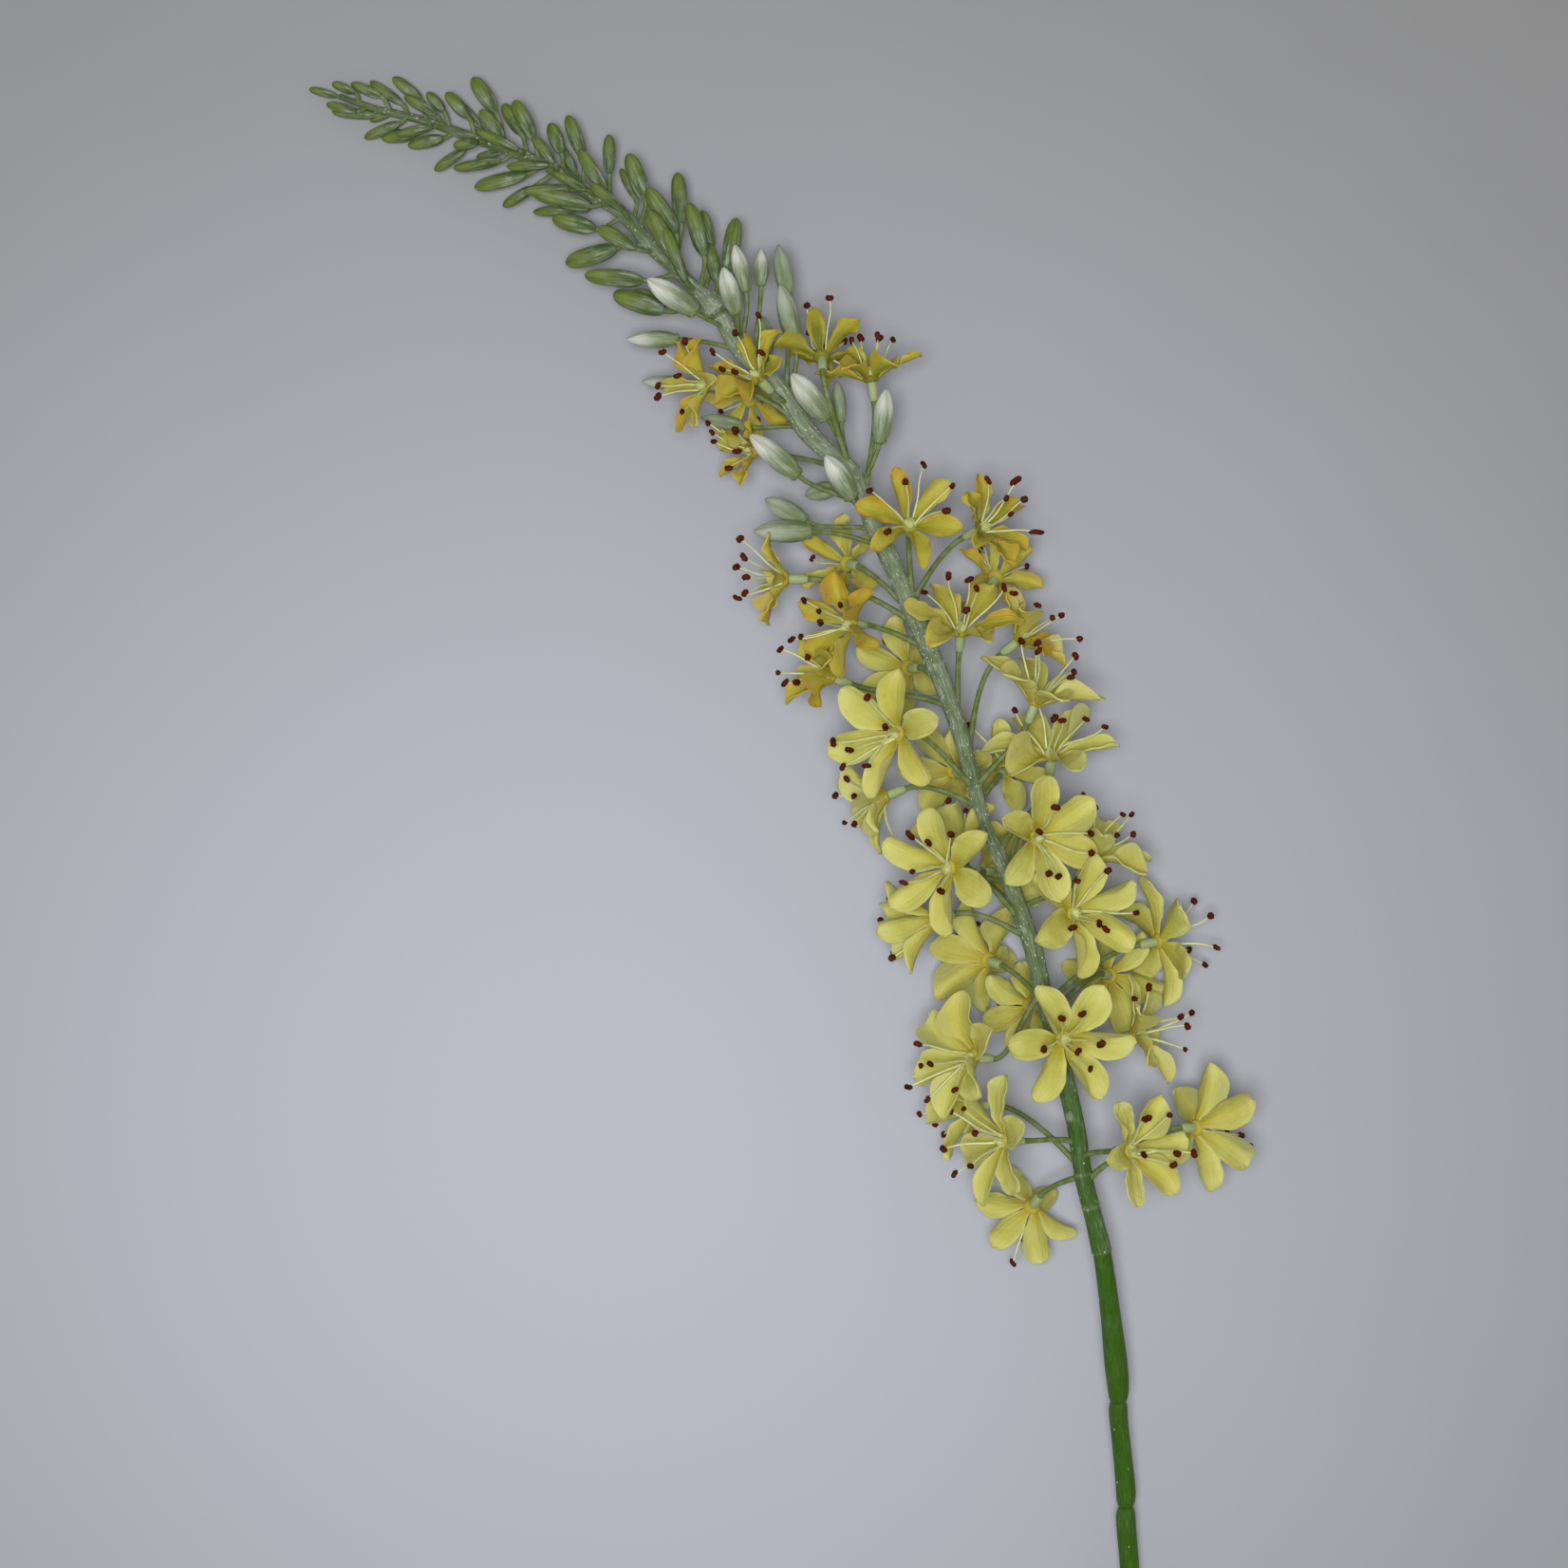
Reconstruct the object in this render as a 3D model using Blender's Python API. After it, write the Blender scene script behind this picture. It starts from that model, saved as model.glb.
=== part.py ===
"""A foxtail lily flower spike lying on a surface: one curved stalk with buds, and its open blooms."""

import math
from collections import namedtuple
from itertools import product

import bmesh
import bpy
from mathutils import Vector
from mathutils.bvhtree import BVHTree

OBJECT_NAME = "foxtail_lily_spike"

# All sizes are in millimetres, and each mesh is scaled to metres when it is made.
MM = 0.001

# The spike is laid out as it looks from straight above: x to the right and y towards the tip, read
# on the level of the stalk, with a height above the surface that it lies on. Points above or below
# that level are drawn in or out along the line of sight.
EYE_HEIGHT = 1200
LAYOUT_HEIGHT = 35
SHIFT_X = 2.5
SHIFT_Y = 41.5

# Stalk, from the cut end to the tip: x, y, height and radius. Sudden thin places are the necks of
# its sleeve joints, and the last swelling is the pale collar below the green tip.
STALK = (
    (93.5, -268.5, 2.8, 2.7),
    (93, -238.5, 6.2, 2.65),
    (91, -206.5, 11.5, 2.6),
    (90, -194, 13.6, 2.65),
    (90, -191, 14.1, 1.6),
    (90, -189, 14.5, 1.8),
    (90, -186, 14.9, 2.65),
    (89, -175.5, 17.0, 2.5),
    (88, -166, 18.9, 2.5),
    (88, -162.5, 19.6, 1.8),
    (88, -159, 20.3, 2.85),
    (87.5, -153.5, 21.3, 3.1),
    (86, -140, 23.9, 2.7),
    (84, -125, 26.8, 2.45),
    (82, -116, 28.2, 2.4),
    (79, -104, 30.0, 2.4),
    (77, -91, 31.8, 2.4),
    (74.5, -79.5, 33.0, 2.4),
    (71, -65, 34.2, 2.4),
    (68, -54, 34.8, 2.4),
    (66, -45, 35.2, 2.4),
    (62, -33, 35.6, 2.4),
    (57.5, -21, 35.8, 2.2),
    (54, -13, 35.9, 1.5),
    (52.5, -9, 36.0, 1.4),
    (51, -4, 36.0, 1.9),
    (47, 11.5, 36.0, 2.3),
    (43.5, 22, 35.8, 2.5),
    (40, 31, 35.5, 2.6),
    (36, 40, 35.2, 2.6),
    (32, 50, 34.8, 2.6),
    (28, 59, 34.2, 2.6),
    (24, 67.5, 33.5, 2.6),
    (21, 75.5, 32.8, 2.5),
    (17, 83, 32.0, 2.5),
    (11, 88, 31.0, 2.6),
    (6, 93, 30.0, 2.7),
    (1, 100.5, 28.6, 2.8),
    (-5, 108, 26.9, 2.7),
    (-12, 115, 25.0, 2.5),
    (-16, 122, 23.2, 2.4),
    (-19, 126, 22.4, 2.9),
    (-23, 130, 21.4, 1.9),
    (-29, 136, 19.6, 2.0),
    (-35.5, 142, 17.8, 2.0),
    (-43, 150.5, 15.5, 1.9),
    (-52, 156, 13.4, 1.8),
    (-61, 162, 11.5, 1.7),
    (-70, 166, 9.4, 1.6),
    (-83, 170.5, 6.8, 1.4),
    (-96, 175, 4.6, 1.1),
    (-107, 177.5, 3.2, 1.0),
    (-117, 181, 2.2, 0.8),
)
STALK_BEVEL = 2

# Open blooms: x, y and height of the back of the hub, the compass angle and the rise of the way that
# it faces, petal length, the compass angle of its first petal, the y where its pedicel roots, and by how
# many degrees its petals stand closer than usual.
Bloom = namedtuple("Bloom", "x y height compass rise petal first root cup", defaults=(0,))
BLOOMS = (
    Bloom(-20, 105, 36, 180, 25, 12.5, 120, 95),
    Bloom(-6.5, 106.5, 38, 138, 35, 12, 108, 99),
    Bloom(-9, 101.5, 20, 250, -62, 11, -75, 94),
    Bloom(-7.5, 87.5, 22, 175, 30, 9.5, 165, 81.5, 10),
    Bloom(10, 112, 34, 92, -48, 12, 100, 81.5),
    Bloom(23, 106, 33, 98, 2, 12.5, 185, 74, -8),
    Bloom(33, 68, 46, 90, 70, 13.5, 45, 44),
    Bloom(51.5, 67, 38, 25, 35, 12.5, 100, 46.5),
    Bloom(17, 58, 24, 160, -60, 11.5, 90, 44),
    Bloom(1, 54, 35, 180, 2, 12.5, 120, 41.5),
    Bloom(18, 42, 42, 180, 48, 13.5, 96, 35),
    Bloom(13, 28, 36, 160, 20, 12.5, 60, 20, 22),
    Bloom(55.5, 54, 23, 60, -45, 11, 99, 41.5),
    Bloom(46.5, 39.5, 42, 86, 35, 15, -5, 14),
    Bloom(61.5, 37.5, 32, 38, 10, 13, 128, 6.5),
    Bloom(30, 13.5, 50, 190, 58, 16.5, 76, -2),
    Bloom(66, 21, 41, 70, 14, 16.5, 150, -2),
    Bloom(70, 6.5, 32, 92, 29, 16.5, -6, -18.5, -8),
    Bloom(58, 3.5, 20, 40, -70, 12, 100, -6),
    Bloom(33, 30.5, 20, 180, -62, 13, 97, 21.5),
    Bloom(45, 3.5, 20.5, 150, -60, 12.5, 125, -5),
    Bloom(27, -3, 33, 200, 8, 13.5, 283, -6.5, 8),
    Bloom(66, -14, 50, -10, 58, 16, 100, -26),
    Bloom(80, -20, 34, 62, 15, 16, 0, -33.5),
    Bloom(47, -17, 22, 100, -35, 12.5, 112, -27),
    Bloom(43.5, -22, 50, 195, 62, 16, 36, -37),
    Bloom(76, -34, 43, 5, 64, 16, 26, -43.5),
    Bloom(98, -41.5, 17.8, 10, -25, 15.5, 100, -58.5, -28),
    Bloom(54, -46.5, 20, 160, -52, 15.5, 165, -58.5),
    Bloom(40, -35.5, 32, 195, -12, 15, 250, -41, 14),
    Bloom(85.5, -50.5, 15.8, -20, -66, 15.5, -13, -62),
    Bloom(91.5, -66, 26, 18, 12, 14, 108, -76, -6),
    Bloom(73.5, -67, 51, -30, 76, 16.5, 0, -81),
    Bloom(50.5, -72, 40, 172, 32, 16.5, 140, -55),
    Bloom(65, -58.5, 18, 200, -55, 12, 200, -61),
    Bloom(58.5, -94, 42, 178, 26, 16, 76, -94.5, -12),
    Bloom(50, -85, 24, 188, -30, 14, 187, -101.5),
    Bloom(90.5, -96.5, 45, 8, 46, 14.5, 10, -98.5),
    Bloom(108, -90.5, 34, -3, -42, 16, 87, -105, -4),
    Bloom(65.5, -111, 19, 240, -50, 13.5, -18, -103.5),
    Bloom(55, -23, 19, 0, -60, 13, 24, -35),
)

# Green buds of the tip: x and y of the bud's tip, x and y of its foot, radius, and how far it stands
# above or below the stalk.
GreenBud = namedtuple("GreenBud", "tip_x tip_y foot_x foot_y radius lift")
GREEN_BUDS = (
    GreenBud(-125, 183, -117.5, 181, 1.2, 0),
    GreenBud(-119, 184.5, -113, 182, 1.4, 2),
    GreenBud(-120.5, 179, -112.5, 177, 1.4, 2.5),
    GreenBud(-114, 184.5, -106, 181, 1.5, 0),
    GreenBud(-119, 177, -107, 176, 1.8, -1.5),
    GreenBud(-109, 185, -100.5, 179, 1.5, -1),
    GreenBud(-103, 186, -95.5, 180, 1.9, 1),
    GreenBud(-100, 181, -91.5, 176, 1.8, 3),
    GreenBud(-109, 174.5, -103, 177, 1.2, -2.5),
    GreenBud(-110.5, 170, -101, 174, 1.8, 0),
    GreenBud(-106, 170, -97, 171, 1.9, -2),
    GreenBud(-102, 171, -92.5, 173, 1.5, 3.5),
    GreenBud(-94, 182, -89.5, 177, 1.6, 0),
    GreenBud(-89, 182, -83, 175.5, 1.9, 1.5),
    GreenBud(-85.5, 179.5, -80, 173, 1.5, -3),
    GreenBud(-99, 168, -89.5, 170, 1.8, -1),
    GreenBud(-92, 161.5, -84, 167, 1.9, 0),
    GreenBud(-87, 168, -80.5, 169, 1.8, 4),
    GreenBud(-82, 186, -76, 177, 2.2, 1),
    GreenBud(-80, 177.5, -74, 170, 1.9, 4),
    GreenBud(-87, 162, -74.5, 164, 2.1, 1.5),
    GreenBud(-81, 165, -74, 166.5, 1.2, -4),
    GreenBud(-81.5, 157, -67.5, 160.5, 2.1, -1.5),
    GreenBud(-73, 162.5, -62, 163, 1.9, 5),
    GreenBud(-74, 179, -69, 171, 1.9, -3),
    GreenBud(-71, 180, -66, 170, 2.2, 3),
    GreenBud(-81, 172, -70, 167, 1.6, 4.5),
    GreenBud(-66, 170.5, -60.5, 163.5, 2.1, 4),
    GreenBud(-61.5, 174, -58.5, 166, 2.1, -2),
    GreenBud(-59, 168, -55, 161, 1.6, -5),
    GreenBud(-57, 176, -53, 165, 2.1, 0),
    GreenBud(-54, 167, -47, 156, 2.1, 4.5),
    GreenBud(-74, 152, -66, 157, 2.2, -2),
    GreenBud(-68.5, 156, -56.5, 156.5, 1.8, 5),
    GreenBud(-66.5, 156, -51, 152, 2.5, 3),
    GreenBud(-66, 150.5, -55, 151, 2.0, -4),
    GreenBud(-61, 149, -49.5, 146, 2.5, 2),
    GreenBud(-49, 146.5, -39, 141, 2.1, 5),
    GreenBud(-57.5, 137, -44, 141, 2.8, 0),
    GreenBud(-52.5, 134, -37, 132.5, 2.6, 3),
    GreenBud(-45, 129, -31.5, 124.5, 2.8, 0),
    GreenBud(-40, 129.5, -30.5, 126, 2.0, -5),
    GreenBud(-46, 171, -46, 160.5, 2.2, -1),
    GreenBud(-41, 166, -36.5, 154, 2.5, 2),
    GreenBud(-43, 162, -39, 154, 1.6, -4),
    GreenBud(-36, 157, -28.5, 145, 2.6, 3),
    GreenBud(-36, 151, -28.5, 138.5, 2.8, 6),
    GreenBud(-28, 161, -27, 147.5, 2.4, -3),
    GreenBud(-25, 153, -21, 139, 2.4, 4),
    GreenBud(-21.5, 151, -19, 141, 1.8, -4),
    GreenBud(-20, 142.5, -17.5, 132, 2.1, -2),
    GreenBud(-12.5, 149, -15, 135, 2.5, -4),
    GreenBud(-61, 161, -52, 156.5, 1.8, 5.5),
    GreenBud(-51, 158, -42.5, 151, 1.8, 6),
    GreenBud(-31.5, 146.5, -26, 132.5, 1.8, 6.5),
    GreenBud(-53.5, 151, -51, 153, 1.8, -6),
)

# White buds below them: the same, and the y where the pedicel roots.
WhiteBud = namedtuple("WhiteBud", "tip_x tip_y foot_x foot_y radius lift root")
WHITE_BUDS = (
    WhiteBud(-36, 133, -23, 124, 3.2, 6, 119),
    WhiteBud(-41.5, 117, -27.5, 117, 2.4, -1, 113.5),
    WhiteBud(-37.5, 106, -23, 105, 2.2, -6, 104.5),
    WhiteBud(-16, 136, -12.5, 123.5, 2.8, 6, 114.5),
    WhiteBud(-13, 142, -10, 129.5, 2.5, 3, 113.5),
    WhiteBud(-6, 141, -6, 131, 2.1, 0, 110),
    WhiteBud(-1.5, 142, 1, 128, 2.5, -3, 100),
    WhiteBud(-1, 131.5, 3, 116, 2.8, 2, 99),
    WhiteBud(-6.5, 123.5, -3.5, 115.5, 2.2, -4, 108.5),
    WhiteBud(2, 108, 11.5, 96, 3.4, 6, 81.5),
    WhiteBud(14, 106, 15, 95, 2.0, -2, 81.5),
    WhiteBud(27, 104, 25, 89.5, 2.8, 3, 76.5),
    WhiteBud(-9, 92, 4, 81, 3.2, 5, 72),
    WhiteBud(11, 86.5, 18, 75, 3.2, 8, 70),
    WhiteBud(5.5, 76, 14, 78, 2.5, -6, 72),
    WhiteBud(-5, 75, 6, 69, 2.8, -3, 66.5),
    WhiteBud(-8, 66.5, 7.5, 66.5, 3.1, 2, 61.5),
    WhiteBud(-22, 96.5, -10, 94, 2.0, -7, 93.5),
)

# Pedicel of a bloom, ending in a receptacle with a flat end that carries the hub
SEAT_GAP = 0.3
RECEPTACLE_LENGTH = 5
RECEPTACLE_SHOULDER = 0.4
RECEPTACLE_RADII = (1.1, 1.5, 1.4)
PEDICEL_ROOT_RADIUS = 1.4
PEDICEL_RADIUS = 1.1
PEDICEL_STEPS = 3
GROWTH_BEVEL = 0

# A pedicel or a bud's stalk leaves with this share of the stalk's own direction, and bends by the pull.
BLOOM_UPTURN = 0.35
BUD_UPTURN = 0.5
PATH_PULL = 0.9

# Shape of a bud along its length, as shares of its length and of its radius
BUD_SHARES = ((0, 0.42), (0.3, 0.97), (0.72, 0.88), (1, 0.24))
BUD_PEDICEL_RADIUS = 0.75
LONG_BUD_PEDICEL = 6
ROUND_BUD_RADIUS = 3
BUD_ROOT_LAG = 0.75
BUD_FOOT_LIFT = 0.8
BUD_TIP_LIFT = 1.3

# Hub and petals of a bloom
HUB_RADIUS = 2.2
HUB_HEIGHT = 1.2
PETALS = 6
PETAL_TURN = 360 / PETALS
PETAL_STEPS = (0.36, 0.36, 0.28)
PETAL_RISES = (34, 19, 5)
PETAL_BEND_SHARES = (0.4, 0.9, 1.3)
PETAL_SWING_SHARES = (0.5, 1, 1)
PETAL_HALF_WIDTHS = (0.21, 0.29, 0.13)
PETAL_HALF_THICKNESS = 0.38
INNER_PETAL_RISE = 5
UPPER_BLOOMS_ABOVE = 35
UPPER_PETAL_WIDTH = 0.82

# Stamens: a filament with a swollen anther at its end. A bloom that hangs face down has every other one.
STAMEN_FOOT = 0.55
FILAMENT_SHARES = ((0.16, 0.55), (0.8, 0.45))
ANTHER_SHARE = 0.91
ANTHER_RADIUS = 1.1
FACE_DOWN_RISE = -25

# Where a petal or a stamen would cross what is already there, it is bent clear by the first of these.
CLEARANCE = 0.3
NEIGHBOUR_REACH = 50
PETAL_BENDS = (0, 9, -9, 18, -18, 27, -27, 38, -38, 50, -50, 62)
PETAL_SWINGS = (0, 10, -10)
PETAL_SHARES = (1, 0.86, 0.72)
STAMEN_LEANS = (31, 23, 39, 15, 46, 8)
STAMEN_TURNS = (0, 15, -15)
STAMEN_SHARES = (1, 0.8, 0.6)

SHARP_ANGLE = 50
WELD_DISTANCE = 0.001
ROUGHNESS = 0.6
STALK_GREEN = (0.12, 0.20, 0.06, 1)
BLOOM_YELLOW = (0.60, 0.53, 0.12, 1)
BLOOM_ORANGE = (0.58, 0.33, 0.04, 1)


def clear_scene():
    """Removes every object that the file starts with."""
    for old in list(bpy.data.objects):
        bpy.data.objects.remove(old)


def new_collection(name):
    """Adds a collection to the scene."""
    collection = bpy.data.collections.new(name)
    bpy.context.scene.collection.children.link(collection)
    return collection


def new_material(name, colour):
    """Makes a plain Principled material."""
    material = bpy.data.materials.new(name)
    material.use_nodes = True
    shader = material.node_tree.nodes["Principled BSDF"]
    shader.inputs["Base Color"].default_value = colour
    shader.inputs["Roughness"].default_value = ROUGHNESS
    shader.inputs["Metallic"].default_value = 0
    return material


def finish(solid, name, colour):
    """Names an object, gives it its own material and shades it smooth between sharp edges."""
    solid.name = name
    solid.data.name = name
    solid.data.materials.clear()
    solid.data.materials.append(new_material(name, colour))
    solid.data.shade_smooth()
    solid.data.set_sharp_from_angle(angle=math.radians(SHARP_ANGLE))


def laid(x, y, height):
    """Turns a layout position into a point of the part, in millimetres."""
    sight = (EYE_HEIGHT - height) / (EYE_HEIGHT - LAYOUT_HEIGHT)
    return Vector((x * sight + SHIFT_X, y * sight + SHIFT_Y, height))


def compass_vector(compass, rise):
    """Unit vector at a compass angle from +X, raised from the level by an angle."""
    around = math.radians(compass)
    up = math.radians(rise)
    return Vector((math.cos(up) * math.cos(around), math.cos(up) * math.sin(around), math.sin(up)))


def stalk_at_level(y):
    """Point and direction of the stalk's axis where its layout y has the given value."""
    for (x0, y0, height0, _), (x1, y1, height1, _) in zip(STALK, STALK[1:]):
        if y0 <= y <= y1:
            share = (y - y0) / (y1 - y0)
            point = laid(x0 + share * (x1 - x0), y, height0 + share * (height1 - height0))
            return point, (laid(x1, y1, height1) - laid(x0, y0, height0)).normalized()
    raise ValueError(f"the stalk has no level {y}")


def nearest_level(x, y):
    """Distance of a layout position from the stalk's axis, and the layout y of the nearest point on it."""
    spot = Vector((x, y))
    found = []
    for (x0, y0, _, _), (x1, y1, _, _) in zip(STALK, STALK[1:]):
        start = Vector((x0, y0))
        run = Vector((x1, y1)) - start
        share = min(max((spot - start).dot(run) / run.length_squared, 0), 1)
        nearest = start + share * run
        found.append(((nearest - spot).length, nearest.y))
    return min(found)


def smooth_path(start, start_way, end, end_way, steps):
    """Points between two ends along a curve that leaves and arrives in the given directions."""
    pull = PATH_PULL * (end - start).length
    points = []
    for step in range(steps + 1):
        t = step / steps
        blend = (
            (2 * t**3 - 3 * t**2 + 1) * start
            + (t**3 - 2 * t**2 + t) * pull * start_way
            + (3 * t**2 - 2 * t**3) * end
            + (t**3 - t**2) * pull * end_way
        )
        points.append(blend)
    return points


def add_tube(name, collection, points, radii, bevel_resolution):
    """Adds a tube through the points as a curve object with its own radius at each."""
    curve = bpy.data.curves.new(name, "CURVE")
    curve.dimensions = "3D"
    curve.bevel_depth = MM
    curve.bevel_resolution = bevel_resolution
    curve.use_fill_caps = True
    spline = curve.splines.new("POLY")
    spline.points.add(len(points) - 1)
    for knot, point, radius in zip(spline.points, points, radii):
        knot.co = (*(point * MM), 1)
        knot.radius = radius
    tube = bpy.data.objects.new(name, curve)
    collection.objects.link(tube)
    return tube


def tubes_to_meshes(tubes):
    """Replaces curve tubes by closed mesh objects with their caps welded."""
    depsgraph = bpy.context.evaluated_depsgraph_get()
    meshes = [bpy.data.meshes.new_from_object(tube.evaluated_get(depsgraph)) for tube in tubes]
    solids = []
    for tube, mesh in zip(tubes, meshes):
        body = bmesh.new()
        body.from_mesh(mesh)
        bmesh.ops.remove_doubles(body, verts=body.verts, dist=WELD_DISTANCE * MM)
        bmesh.ops.recalc_face_normals(body, faces=body.faces)
        body.to_mesh(mesh)
        body.free()
        solid = bpy.data.objects.new(tube.name + "_solid", mesh)
        solid.matrix_world = tube.matrix_world
        tube.users_collection[0].objects.link(solid)
        bpy.data.objects.remove(tube)
        solids.append(solid)
    return solids


def bloom_frame(bloom):
    """Back of the hub, the way it faces, and two directions across it with the first petal's angle."""
    hub = laid(bloom.x, bloom.y, bloom.height)
    facing = compass_vector(bloom.compass, bloom.rise)
    upward = (Vector((0, 0, 1)) - facing.z * facing).normalized()
    sideways = upward.cross(facing)
    if bloom.rise < 0:
        first = bloom.compass + 90 - bloom.first
    else:
        first = bloom.first - bloom.compass - 90
    return hub, facing, sideways, upward, first


def outward(frame, angle):
    """Direction across the bloom at an angle round its axis."""
    _, _, sideways, upward, _ = frame
    turn = math.radians(angle)
    return math.cos(turn) * sideways + math.sin(turn) * upward


def leaving_way(root, stalk_way, target, upturn):
    """Direction in which a pedicel leaves the stalk: towards its target, turned up along the stalk."""
    return ((target - root).normalized() + upturn * stalk_way).normalized()


def bloom_pedicel(bloom):
    """Points and radii of a pedicel from inside the stalk to the receptacle's flat end."""
    hub, facing, _, _, _ = bloom_frame(bloom)
    root, stalk_way = stalk_at_level(bloom.root)
    seat = hub - SEAT_GAP * facing
    neck = seat - RECEPTACLE_LENGTH * facing
    leaving = leaving_way(root, stalk_way, neck, BLOOM_UPTURN)
    points = smooth_path(root, leaving, neck, facing, PEDICEL_STEPS)
    points += [seat - RECEPTACLE_SHOULDER * RECEPTACLE_LENGTH * facing, seat]
    radii = [PEDICEL_ROOT_RADIUS] + [PEDICEL_RADIUS] * (PEDICEL_STEPS - 1) + list(RECEPTACLE_RADII)
    return points, radii


def bud_tube(bud, root_level):
    """Points and radii of a bud on its pedicel, rooted in the stalk and no lower than the surface."""
    root, stalk_way = stalk_at_level(root_level)
    foot = laid(bud.foot_x, bud.foot_y, max(root.z + BUD_FOOT_LIFT * bud.lift, bud.radius))
    tip = laid(bud.tip_x, bud.tip_y, max(root.z + BUD_TIP_LIFT * bud.lift, bud.radius))
    way = (tip - foot).normalized()
    steps = 1 + int((foot - root).length > LONG_BUD_PEDICEL)
    leaving = leaving_way(root, stalk_way, foot, BUD_UPTURN)
    points = smooth_path(root, leaving, foot, way, steps)[:-1]
    radii = [BUD_PEDICEL_RADIUS] * steps
    for share, width in BUD_SHARES:
        points.append(foot.lerp(tip, share))
        radii.append(width * bud.radius)
    return points, radii


def green_bud_root(bud):
    """Level where a green bud's short pedicel leaves the stalk, a little below its foot."""
    away, level = nearest_level(bud.foot_x, bud.foot_y)
    _, way = stalk_at_level(level)
    return level - BUD_ROOT_LAG * math.hypot(away, bud.lift) * way.y


def add_growths(growth):
    """Adds the pedicels of all blooms and every bud on its own pedicel, as tubes."""
    tubes = []
    for number, bloom in enumerate(BLOOMS, 1):
        points, radii = bloom_pedicel(bloom)
        tubes.append(add_tube(f"pedicel_{number}", growth, points, radii, GROWTH_BEVEL))
    rooted = [(bud, green_bud_root(bud)) for bud in GREEN_BUDS] + [(bud, bud.root) for bud in WHITE_BUDS]
    for number, (bud, root_level) in enumerate(rooted, 1):
        points, radii = bud_tube(bud, root_level)
        bevel = GROWTH_BEVEL + int(bud.radius > ROUND_BUD_RADIUS)
        tubes.append(add_tube(f"bud_{number}", growth, points, radii, bevel))
    return tubes


def add_stalk(collection):
    """Makes the stalk with every pedicel, receptacle and bud fused to it."""
    points = [laid(x, y, height) for x, y, height, _ in STALK]
    stem = add_tube("stem", collection, points, [radius for *_, radius in STALK], STALK_BEVEL)
    growth = new_collection("growth")
    stalk, *grown = tubes_to_meshes([stem] + add_growths(growth))
    union = stalk.modifiers.new("fuse", "BOOLEAN")
    union.operation = "UNION"
    union.operand_type = "COLLECTION"
    union.collection = growth
    union.solver = "EXACT"
    stalk.data = bpy.data.meshes.new_from_object(stalk.evaluated_get(bpy.context.evaluated_depsgraph_get()))
    stalk.modifiers.clear()
    for solid in grown:
        bpy.data.objects.remove(solid)
    bpy.data.collections.remove(growth)
    finish(stalk, "stalk", STALK_GREEN)
    return stalk


def petal_rings(bloom, number, bend, swing, share, spare):
    """Rings of four corners along a petal, from the hub's side to the tip."""
    frame = bloom_frame(bloom)
    hub, facing, _, _, first = frame
    angle = first + PETAL_TURN * number
    out = outward(frame, angle)
    across = facing.cross(out)
    centre = hub + HUB_RADIUS * math.cos(math.radians(PETAL_TURN / 2)) * out + HUB_HEIGHT / 2 * facing
    rings = [box_corners(centre, across, facing, HUB_RADIUS / 2, HUB_HEIGHT / 2)]
    length = bloom.petal * share
    width = length * (UPPER_PETAL_WIDTH if bloom.y > UPPER_BLOOMS_ABOVE else 1)
    standing = bloom.cup + INNER_PETAL_RISE * (number % 2)
    steps = zip(PETAL_STEPS, PETAL_RISES, PETAL_BEND_SHARES, PETAL_SWING_SHARES, PETAL_HALF_WIDTHS)
    for step, rise, bend_share, swing_share, half_width in steps:
        out = outward(frame, angle + swing * swing_share)
        across = facing.cross(out)
        slope = math.radians(rise + standing + bend * bend_share)
        way = math.cos(slope) * out + math.sin(slope) * facing
        through = way.cross(across)
        centre = centre + step * length * way
        half_thickness = PETAL_HALF_THICKNESS + spare
        rings.append(box_corners(centre, across, through, half_width * width + spare, half_thickness))
    return rings


def box_corners(centre, across, through, half_width, half_thickness):
    """Four corners of a ring, in order round it."""
    wide = half_width * across
    thick = half_thickness * through
    return [centre - wide - thick, centre + wide - thick, centre + wide + thick, centre - wide + thick]


def stamens_of(bloom):
    """Numbers of the stamens that a bloom has."""
    return range(0, PETALS, 2 if bloom.rise < FACE_DOWN_RISE else 1)


def stamen_rings(bloom, number, lean, turn, share, spare):
    """Rings of three corners along a stamen, from its piece of the hub's front to the anther's tip."""
    frame = bloom_frame(bloom)
    hub, facing, _, _, first = frame
    angle = first + PETAL_TURN * number
    front = hub + HUB_HEIGHT * facing
    sides = [front + HUB_RADIUS * outward(frame, angle + side * PETAL_TURN / 2) for side in (-1, 1)]
    rings = [[front, *sides]]
    foot = front + STAMEN_FOOT * HUB_RADIUS * outward(frame, angle)
    out = outward(frame, angle + turn)
    slope = math.radians(lean)
    way = math.cos(slope) * facing + math.sin(slope) * out
    outer = math.cos(slope) * out - math.sin(slope) * facing
    across = facing.cross(out)
    length = bloom.petal * share
    for reach, radius in (*FILAMENT_SHARES, (ANTHER_SHARE, ANTHER_RADIUS)):
        centre = foot + reach * length * way
        rings.append(triangle_corners(centre, outer, across, radius + spare))
    rings.append([foot + length * way] * 3)
    return rings


def triangle_corners(centre, outer, across, radius):
    """Three corners of a ring: one towards the bloom's axis and two away from it."""
    back = radius / 2 * outer
    side = math.sqrt(3) / 2 * radius * across
    return [centre - radius * outer, centre + back - side, centre + back + side]


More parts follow.
